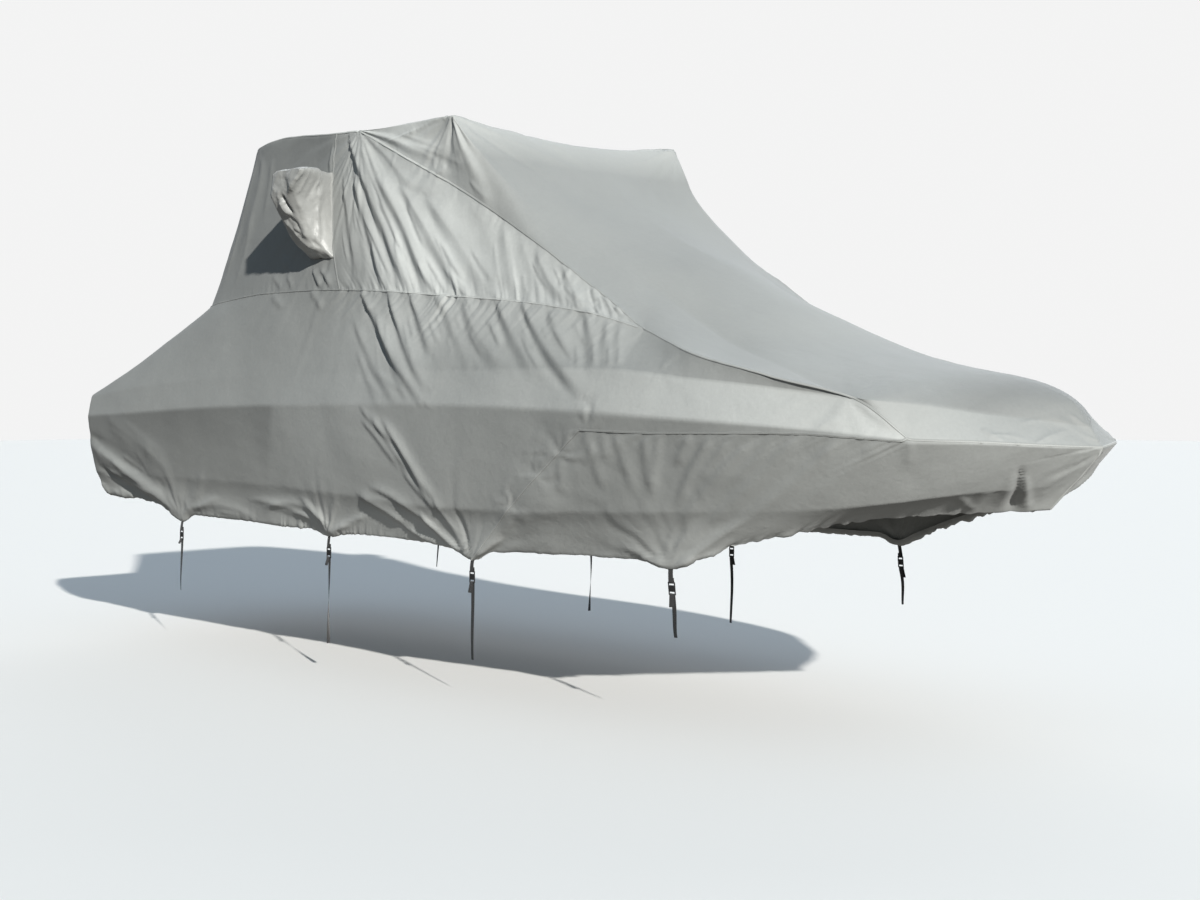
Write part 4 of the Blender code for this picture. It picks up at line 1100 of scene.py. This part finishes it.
def pocket_piece(name, way):
    rings = pocket_rings(way)
    along = len(rings) - 1

    def place(k, j):
        return rings[j][k % POCKET_ROUND], (k / POCKET_ROUND * POCKET_MAP[0], j / along * POCKET_MAP[1])

    work = lay_grid(POCKET_ROUND, along, place)
    bmesh.ops.remove_doubles(work, verts=work.verts, dist=MERGE)
    bmesh.ops.recalc_face_normals(work, faces=work.faces)
    outer = max(work.faces, key=lambda face: abs(face.calc_center_median().y))
    if outer.normal.y * way < 0:
        bmesh.ops.reverse_faces(work, faces=work.faces)
    piece = add_piece(name, work)
    wrinkle_pocket(piece.data, way)
    return piece


def wrinkle_pocket(mesh, way):
    """Creases and small crumples, strongest away from the root."""
    points, normals = read_points(mesh), read_normals(mesh)
    push = 0.0018 * waves(points, 0.14, 61 + way) + 0.0010 * waves(points, 0.05, 71 + way)
    push += 0.009 * (0.25 - np.abs(waves(points * (1, 1, 0.6), 0.30, 81 + way, 5)))
    for turn_a, out_a, turn_b, out_b, turn_c, out_c, width, depth in POCKET_CREASES:
        steps = np.linspace(0, 1, 15)
        turns = np.interp(steps, (0, 0.5, 1), (turn_a, turn_b, turn_c))
        shares = np.interp(steps, (0, 0.5, 1), (out_a, out_b, out_c))
        track = np.array([pocket_place(turn, share, way) for turn, share in zip(turns, shares)])
        gap = np.linalg.norm(points[:, None] - track[None], axis=2)
        nearest = gap.argmin(axis=1)
        fade = np.clip(np.minimum(steps, 1 - steps) * 5, 0.15, 1)[nearest]
        push += depth * fade * np.exp(-((gap.min(axis=1) / width) ** 1.7))
    root = folded_at([5.6], [2.5], way)[0][0]
    calm = np.clip((np.abs(points[:, 1]) - abs(root[1]) - 0.005) / 0.04, 0, 1)
    points += normals * (push * calm)[:, None]
    mesh.vertices.foreach_set("co", points.ravel())
    mesh.update()


pockets = [pocket_piece("pocket_cloth_stbd", STARBOARD), pocket_piece("pocket_cloth_port", PORT)]
print("pockets:", [len(piece.data.polygons) for piece in pockets])

# %% [markdown]
# ## Straps
# Each strap is three pieces: webbing sewn inside the hem and turned round the buckle's upper bar, the
# buckle, and the webbing that is threaded through it and hangs. Webbing is 27 mm wide and 1.6 mm
# thick. It has a closed section with rounded edges, carried along a smooth path, and it can twist.

# %% Webbing along a path
WEB_WIDTH, WEB_THICK, WEB_GAP = 0.027, 0.0016, 0.0004
WEB_SECTION = (
    (-1, -0.35), (-0.9, -1), (-0.45, -1), (0, -1), (0.45, -1), (0.9, -1), (1, -0.35),
    (1, 0.35), (0.9, 1), (0.45, 1), (0, 1), (-0.45, 1), (-0.9, 1), (-1, 0.35),
)
PATH_STEP, CORNER_ROUNDS = 0.004, 3
web_paths = {}


def rounded_path(points):
    """A path made smooth by cutting its corners."""
    path = np.array(points, float)
    for _ in range(CORNER_ROUNDS):
        near, far = path[:-1] * 0.75 + path[1:] * 0.25, path[:-1] * 0.25 + path[1:] * 0.75
        path = np.vstack([path[:1], np.stack((near, far), axis=1).reshape(-1, 3), path[-1:]])
    run = np.append(0, np.cumsum(np.linalg.norm(np.diff(path, axis=0), axis=1)))
    at = np.linspace(0, run[-1], max(8, int(run[-1] / PATH_STEP)))
    return np.column_stack([np.interp(at, run, path[:, k]) for k in range(3)])


def webbing(name, points, across, twist):
    """Flat webbing with rounded edges along a path, turned by twist at its far end."""
    path = rounded_path(points)
    heading = np.gradient(path, axis=0)
    heading /= np.linalg.norm(heading, axis=1)[:, None]
    side_way = across - heading * (heading @ across)[:, None]
    side_way /= np.linalg.norm(side_way, axis=1)[:, None]
    face_way = np.cross(heading, side_way)
    turn = (twist * np.linspace(0, 1, len(path)) ** 1.5)[:, None]
    wide = side_way * np.cos(turn) + face_way * np.sin(turn)
    thick = face_way * np.cos(turn) - side_way * np.sin(turn)
    around = len(WEB_SECTION)

    def place(k, j):
        off, high = WEB_SECTION[k % around]
        off *= WEB_WIDTH / 2
        return path[j] + wide[j] * off + thick[j] * high * WEB_THICK / 2, (off, j * PATH_STEP)

    work = lay_grid(around, len(path) - 1, place)
    bmesh.ops.remove_doubles(work, verts=work.verts, dist=MERGE / 10)
    bmesh.ops.holes_fill(work, edges=[edge for edge in work.edges if edge.is_boundary], sides=around)
    bmesh.ops.recalc_face_normals(work, faces=work.faces)
    web_paths[name] = path
    return add_piece(name, work)


# %% A strap, from the hem down
# Straps: rib, drop to the buckle, webbing below it, short tail, lean to the bow, twist of the end.
STRAPS = (
    (4, 0.095, 0.330, 0.030, -0.05, 0.5),
    (7, 0.105, 0.500, 0.045, -0.02, 1.5),
    (10, 0.095, 0.410, 0.055, 0.00, 0.3),
    (13, 0.100, 0.200, 0.060, 0.10, 0.4),
)
STRAP_LAP, TURN_BACK = 0.030, 0.030
BUCKLE_HEIGHT, BUCKLE_THICK, BUCKLE_BAR = 0.064, 0.006, 0.005


def turn_round(bar, out, down_way, turn):
    """Webbing round a buckle's bar, from the front to the back."""
    radius = math.hypot(BUCKLE_THICK, BUCKLE_BAR) / 2 + WEB_GAP + WEB_THICK / 2
    angles = np.linspace(0, math.pi, 9)
    return [bar + out * radius * math.cos(a) + down_way * turn * radius * math.sin(a) for a in angles]


def strap_pieces(label, way, row):
    rib_at, drop, hang, tail, lean, twist = row
    hem = folded_at([rib_at], [7], way)[0][0]
    beside = folded_at([rib_at - 0.1, rib_at + 0.1], [7, 7], way)[0]
    across = (beside[1] - beside[0]) * (1, 1, 0)
    across /= np.linalg.norm(across)
    out = np.array((across[1], -across[0], 0))
    out *= 1 if out[1] * way > 0 else -1
    down_way = np.array((0, 0, -1)) + across * lean
    down_way /= np.linalg.norm(down_way)
    node = np.array([vertex.co for vertex in frame["nodes"][label + "_buckle"].data.vertices])
    centre = (node.min(axis=0) + node.max(axis=0)) / 2
    reach = BUCKLE_HEIGHT / 2 - BUCKLE_BAR / 2
    inside = hem - out * 0.016
    bend = turn_round(centre - down_way * reach, out, down_way, 1)
    upper = [inside + np.array((0, 0, STRAP_LAP)), inside + np.array((0, 0, 0.012)), hem - out * 0.006]
    upper += [bend[0] - down_way * 0.010] + bend
    upper += [bend[-1] - down_way * 0.008, bend[-1] - down_way * TURN_BACK * 0.75 + out * 0.001]
    loop = turn_round(centre + down_way * reach, out, down_way, -1)
    lower = [loop[0] + down_way * tail + out * 0.014, loop[0] + down_way * 0.008 + out * 0.002] + loop
    lower.append(loop[-1] + down_way * 0.012)
    for share in np.linspace(0.15, 1, 8):
        sway = out * 0.006 * math.sin(3 * share) + across * 0.004 * math.sin(5 * share)
        lower.append(loop[-1] + down_way * (0.012 + hang * share) + sway)
    return [
        webbing(label + "_webbing", upper, across, 0),
        buckle_piece(label),
        webbing(label + "_hanging", lower, across, twist),
    ]


def buckle_piece(label):
    """The solid buckle with its edges rounded."""
    source = frame["nodes"][label + "_buckle"]
    work = bmesh.new()
    work.from_mesh(source.data)
    bmesh.ops.remove_doubles(work, verts=work.verts, dist=MERGE / 4)
    bmesh.ops.dissolve_limit(work, angle_limit=math.radians(2), verts=work.verts, edges=work.edges)
    sharp = [edge for edge in work.edges if edge.is_manifold and edge.calc_face_angle(0) > 0.7]
    bmesh.ops.bevel(
        work, geom=sharp, offset=0.0011, offset_type="OFFSET", segments=3, profile=0.5,
        affect="EDGES", material=-1, clamp_overlap=True,
    )
    bmesh.ops.triangulate(work, faces=[face for face in work.faces if len(face.verts) > 4])
    return add_piece(label + "_ladderlock", work)


straps = {}
for way, letter in ((STARBOARD, "s"), (PORT, "p")):
    for number, row in enumerate(STRAPS, 1):
        label = f"strap_{letter}{number}"
        straps[label] = strap_pieces(label, way, row)
print("straps:", len(straps))

# %% [markdown]
# ## Finishes
# The cloth is grey polyester with a soft sheen. Up close it is a plain weave, about one thread a
# millimetre; from further off it shows slow changes of tone where the coating is thinner or dusty.
# One function makes every cloth, so that panels differ only in tone and gloss.

# %% Materials from short lines
def node_of(tree, kind, output=0, **inputs):
    """Adds a node, sets its inputs by name or wires them up, and gives one of its outputs."""
    made = tree.nodes.new(kind)
    wire(tree, made, inputs)
    return made.outputs[output]


def wire(tree, made, inputs):
    for name, value in inputs.items():
        socket = made.inputs[name.replace("_", " ")]
        if isinstance(value, bpy.types.NodeSocket):
            tree.links.new(value, socket)
        else:
            socket.default_value = value


def sum_of(tree, operation, *values, kind="ShaderNodeMath"):
    """A sum of two values or, with ShaderNodeVectorMath, of two colours."""
    made = tree.nodes.new(kind)
    made.operation = operation
    for socket, value in zip(made.inputs, values):
        if isinstance(value, bpy.types.NodeSocket):
            tree.links.new(value, socket)
        else:
            socket.default_value = value
    return made.outputs["Value" if operation == "DOT_PRODUCT" else 0]


def mix_of(tree, share, none, full):
    """A colour between two, by a share."""
    made = tree.nodes.new("ShaderNodeMix")
    made.data_type = "RGBA"
    made.inputs["A"].default_value = (*none, 1)
    made.inputs["B"].default_value = (*full, 1)
    tree.links.new(share, made.inputs["Factor"])
    return made.outputs["Result"]


def noise_of(tree, place, scale, detail, **more):
    return node_of(tree, "ShaderNodeTexNoise", Vector=place, Scale=scale, Detail=detail, **more)


def range_of(tree, value, low, high, first=0.0, last=1.0):
    """A value between first and last, as the given one goes from low to high."""
    return node_of(
        tree, "ShaderNodeMapRange", Value=value, From_Min=low, From_Max=high, To_Min=first, To_Max=last,
    )


def threads_of(tree, place, spacing, distortion, direction="X"):
    """Threads at a spacing in metres."""
    made = tree.nodes.new("ShaderNodeTexWave")
    made.bands_direction = direction
    wire(tree, made, dict(Vector=place, Scale=WAVE / spacing, Distortion=distortion, Detail=1.0))
    return made.outputs["Fac"]


def bump_of(tree, height, strength, distance, **more):
    return node_of(tree, "ShaderNodeBump", Height=height, Strength=strength, Distance=distance, **more)


def new_look(name):
    """A new material: itself, its tree, its shader, and its map and object coordinates."""
    look = bpy.data.materials.new(name)
    look.use_nodes = True
    tree = look.node_tree
    place = tree.nodes.new("ShaderNodeTexCoord")
    return look, tree, tree.nodes["Principled BSDF"], place.outputs["UV"], place.outputs["Object"]


# %% A cloth material
THREAD, WAVE = 0.0011, 0.31416


def scaled_by(tree, colour, share):
    """A colour, darker or paler by a share."""
    return sum_of(tree, "MULTIPLY", colour, share, kind="ShaderNodeVectorMath")


def cloth_look(name, colour, darker, variation=True, roughness=0.60, sheen=0.10, gloss=0.40, crumple=0.35):
    look, tree, shader, flat_map, place = new_look(name)
    slow = noise_of(tree, place, 1.3, 5.0, Roughness=0.55)
    speck = noise_of(tree, place, 55.0, 4.0, Roughness=0.7)
    toned = mix_of(tree, range_of(tree, slow, 0.30, 0.62), darker, colour)
    toned = scaled_by(tree, toned, range_of(tree, speck, 0.25, 0.75, 0.94, 1.03))
    # The tone attribute paints light and shade onto the cloth, with some wear.
    if variation:
        toned = scaled_by(tree, toned, node_of(tree, "ShaderNodeAttribute", "Fac"))
        tree.nodes["Attribute"].attribute_name = "tone"
    warp, weft = (threads_of(tree, flat_map, THREAD, 0.6, direction) for direction in "XY")
    crush = noise_of(tree, place, 28.0, 3.0, Distortion=0.5)
    crushed = bump_of(tree, crush, crumple, 0.004)
    woven = bump_of(tree, sum_of(tree, "ADD", warp, weft), 0.25, 0.0003, Normal=crushed)
    rough = range_of(tree, speck, 0.2, 0.8, roughness - 0.07, roughness + 0.07)
    wire(tree, shader, dict(
        Base_Color=toned, Roughness=rough, Normal=woven, Sheen_Weight=sheen, Sheen_Roughness=0.4,
        Specular_IOR_Level=gloss,
    ))
    return look


grey_cloth = cloth_look("grey_cover_cloth", (0.486, 0.501, 0.487), (0.452, 0.467, 0.456))
silver_cloth = cloth_look(
    "silver_pocket_cloth", (0.34, 0.343, 0.33), (0.30, 0.305, 0.295), variation=False, roughness=0.40,
    sheen=0.3, crumple=0.9, gloss=0.6,
)
for piece in panels.values():
    piece.data.materials.append(grey_cloth)
for piece in pockets:
    piece.data.materials.append(silver_cloth)
print("cloth looks:", grey_cloth.name, silver_cloth.name)

# %% [markdown]
# A seam shows its two rows of stitches: short dashes that stand up a little. They come from the strip's
# own map, which runs in metres along it and across it. Past the rows, the tape has a painted highlight,
# a little paler, and one edge of it a painted shadow.

# %% A seam material
STITCH, STITCH_SHARE, STITCH_ROW, STITCH_THICK = 0.0045, 0.68, 0.0026, 0.0007
# A painted highlight on the tape and a painted shadow along one edge: where across it they change, and their
# factors.
EDGE_SHADOW_FROM, EDGE_SHADOW_TO, SEAM_HIGHLIGHT, SEAM_SHADOW = 0.0030, 0.0042, 1.12, 0.74


def seam_look(name, colour, thread):
    look, tree, shader, flat_map, place = new_look(name)
    split = tree.nodes.new("ShaderNodeSeparateXYZ")
    tree.links.new(flat_map, split.inputs["Vector"])
    along, across = split.outputs["X"], split.outputs["Y"]
    on = sum_of(tree, "LESS_THAN", sum_of(tree, "PINGPONG", along, STITCH), STITCH * STITCH_SHARE)
    off_row = sum_of(tree, "SUBTRACT", sum_of(tree, "ABSOLUTE", across), STITCH_ROW)
    in_row = sum_of(tree, "LESS_THAN", sum_of(tree, "ABSOLUTE", off_row), STITCH_THICK)
    dash = sum_of(tree, "MULTIPLY", on, in_row)
    # The tone attribute: the painted light and shade of the cloth beside the seam.
    variation = node_of(tree, "ShaderNodeAttribute", "Fac")
    tree.nodes["Attribute"].attribute_name = "tone"
    # Painted highlight over most of the tape, painted shadow along its one outer edge.
    edge = range_of(tree, across, EDGE_SHADOW_FROM, EDGE_SHADOW_TO, SEAM_HIGHLIGHT, SEAM_SHADOW)
    toned = scaled_by(tree, mix_of(tree, dash, colour, thread), sum_of(tree, "MULTIPLY", variation, edge))
    grain = sum_of(tree, "MULTIPLY", noise_of(tree, place, 300.0, 2.0), 0.4)
    raised = bump_of(tree, sum_of(tree, "ADD", dash, grain), 0.5, 0.0006)
    wire(tree, shader, dict(Base_Color=toned, Roughness=0.6, Normal=raised, Sheen_Weight=0.1))
    return look


seam_grey = seam_look("seam_tape", (0.49, 0.505, 0.49), (0.30, 0.31, 0.30))
for piece in seams:
    piece.data.materials.append(seam_grey)
print("seam strips dressed:", len(seams))

# %% [markdown]
# ## Webbing and plastic
# The webbing is black, with fine ribs across it and a flat edge. The buckles are black nylon with a
# fine moulded grain, a little shiny on their rounded edges.

# %% Webbing and buckle materials
WEB_RIB, WEB_THREAD = 0.0016, 0.0009


def webbing_look():
    look, tree, shader, flat_map, place = new_look("black_webbing_weave")
    ribs_across = threads_of(tree, flat_map, WEB_RIB, 0.5, "Y")
    threads = threads_of(tree, flat_map, WEB_THREAD, 1.0)
    variation = noise_of(tree, place, 60.0, 4.0)
    share = sum_of(tree, "MULTIPLY", variation, ribs_across)
    raised = bump_of(tree, sum_of(tree, "ADD", ribs_across, threads), 0.6, 0.0005)
    wire(tree, shader, dict(
        Base_Color=mix_of(tree, share, (0.010, 0.010, 0.011), (0.030, 0.030, 0.032)),
        Roughness=range_of(tree, variation, 0, 1, 0.65, 0.85), Normal=raised, Sheen_Weight=0.25,
    ))
    return look


def nylon_look():
    look, tree, shader, _, place = new_look("black_nylon")
    grain, scuff = noise_of(tree, place, 700.0, 3.0), noise_of(tree, place, 90.0, 5.0)
    wire(tree, shader, dict(
        Base_Color=mix_of(tree, scuff, (0.012, 0.012, 0.013), (0.030, 0.030, 0.031)),
        Roughness=range_of(tree, scuff, 0, 1, 0.32, 0.52), Normal=bump_of(tree, grain, 0.3, 0.0002),
    ))
    return look


web_look, plastic_look = webbing_look(), nylon_look()
for pieces in straps.values():
    for piece, look in zip(pieces, (web_look, plastic_look, web_look)):
        piece.data.materials.append(look)
print("strap pieces dressed:", 3 * len(straps))

# %% [markdown]
# ## Put the pieces on the model
# Each piece rides on the model's one body, and the solid that it stands for is hidden.

# %% Ride and replace
# Panels: piece, solid, flat width and length, and flat area as cut.
CUTS = (
    ("top_cloth", "top_panel", 2.9, 6.9, 12.0), ("tower_aft_cloth", "tower_aft", 4.6, 1.8, 4.4),
    ("tower_side_cloth_stbd", "tower_side_stbd", 2.9, 1.1, 1.45),
    ("tower_side_cloth_port", "tower_side_port", 2.9, 1.1, 1.45),
    ("side_cloth_stbd", "side_stbd", 8.6, 2.0, 9.6), ("side_cloth_port", "side_port", 8.6, 2.0, 9.6),
    ("bow_skirt_cloth_stbd", "bow_skirt_stbd", 3.3, 0.95, 1.95),
    ("bow_skirt_cloth_port", "bow_skirt_port", 3.3, 0.95, 1.95),
)

PATH_POINTS = 40


def declare(piece, solid=None):
    """Rides a piece on the model's body and hides the solid that it stands for."""
    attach(piece, "root")
    if solid:
        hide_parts(solid)


def declare_cord(piece):
    """Measures the webbing below a buckle and prints its length."""
    path = web_paths[piece.name]
    length = round(float(np.linalg.norm(np.diff(path, axis=0), axis=1).sum()), 3)
    points = [tuple(point) for point in path[:: max(1, len(path) // PATH_POINTS)].tolist()]
    points.append(tuple(path[-1].tolist()))
    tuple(points[0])
    print(piece.name, "runs", length, "m")


for name, solid, width, length, area in CUTS:
    declare(panels[name], solid)
for piece, solid in zip(pockets, ("pocket_stbd", "pocket_port")):
    declare(piece, solid)
for piece in seams:
    declare(piece)
for label, (sewn, buckle, hanging) in straps.items():
    declare(sewn, f"{label}_web")
    declare(buckle, f"{label}_buckle")
    declare(hanging, f"{label}_tail")
    declare_cord(hanging)
print("declared sheets:", len(CUTS) + len(pockets))

# %% [markdown]
# ## Floor and light
# A plain pale floor lies where the trailer's wheels would stand. It doesn't light the cover: the
# lower half of the surroundings does that. A low sun from ahead of the bow rakes along the side,
# which is what makes the pleats readable. The sky fills the shadows, weaker from the quarter where
# other boats would stand, and a wide soft light opens the far side, which the sun never reaches.

# %% The floor
FLOOR_SIZE = 60

ground = bmesh.new()
bmesh.ops.create_grid(ground, x_segments=4, y_segments=4, size=FLOOR_SIZE)
bmesh.ops.translate(ground, verts=ground.verts, vec=(0, 0, -REST_HEIGHT))
floor = add_piece("studio_floor", ground)
pale, tree, shader = new_look("pale_floor")[:3]
wire(tree, shader, dict(Base_Color=(0.82, 0.815, 0.80, 1), Roughness=0.9))
floor.data.materials.append(pale)
floor.visible_diffuse = floor.visible_glossy = False
print("floor at", -REST_HEIGHT)

# %% The lights
SUN_FROM, SUN_STRENGTH, SUN_WIDTH, SUN_COLOUR = (0.834, -0.354, 0.423), 5.4, 1.2, (1.0, 0.98, 0.935)
FILL_FROM, FILL_STRENGTH, FILL_WIDTH = (-0.55, 0.80, 0.22), 1.3, 60
SKY_STRENGTH, GROUND_STRENGTH, BEHIND_STRENGTH = 0.42, 0.21, 0.90
SKY_TINT, GROUND_TINT = (0.60, 0.80, 1.0), (1.0, 0.96, 0.89)
SHADE_SIDE, SHADE_SHARE = (-0.55, -0.83, 0.0), 0.45
HORIZON = 0.15


def distant_light(name, from_where, strength, width, colour=(1, 1, 1)):
    """A light from far off, as wide as an angle in degrees."""
    light = bpy.data.lights.new(name, "SUN")
    light.energy, light.angle, light.color = strength, math.radians(width), colour
    place = bpy.data.objects.new(name, light)
    place.rotation_euler = Vector(from_where).to_track_quat("Z", "Y").to_euler()
    bpy.context.scene.collection.objects.link(place)


distant_light("sun", SUN_FROM, SUN_STRENGTH, SUN_WIDTH, SUN_COLOUR)
distant_light("fill", FILL_FROM, FILL_STRENGTH, FILL_WIDTH)

sky = bpy.data.worlds.new("sky")
sky.use_nodes = True
bpy.context.scene.world = sky
tree = sky.node_tree
facing = node_of(tree, "ShaderNodeTexCoord", "Generated")
height = node_of(tree, "ShaderNodeSeparateXYZ", "Z", Vector=facing)
from_below = range_of(tree, height, -HORIZON, HORIZON, GROUND_STRENGTH, 0.0)
from_above = range_of(tree, height, -HORIZON, HORIZON, 0.0, SKY_STRENGTH)
tint = mix_of(tree, range_of(tree, height, -HORIZON, HORIZON), GROUND_TINT, SKY_TINT)
turned = sum_of(tree, "DOT_PRODUCT", facing, SHADE_SIDE, kind="ShaderNodeVectorMath")
shaded = range_of(tree, turned, -0.3, 0.8, 1.0, SHADE_SHARE)
strength = sum_of(tree, "ADD", from_below, sum_of(tree, "MULTIPLY", from_above, shaded))
glow = tree.nodes["Background"]
wire(tree, glow, dict(Color=tint, Strength=strength))
behind = node_of(tree, "ShaderNodeBackground", Color=(1, 1, 1, 1), Strength=BEHIND_STRENGTH)
mix = tree.nodes.new("ShaderNodeMixShader")
shares = (node_of(tree, "ShaderNodeLightPath", "Is Camera Ray"), glow.outputs["Background"], behind)
for socket, source in zip(mix.inputs, shares):
    tree.links.new(source, socket)
tree.links.new(mix.outputs["Shader"], tree.nodes["World Output"].inputs["Surface"])
bpy.context.scene.view_settings.view_transform = "Standard"
print("sun from", SUN_FROM)
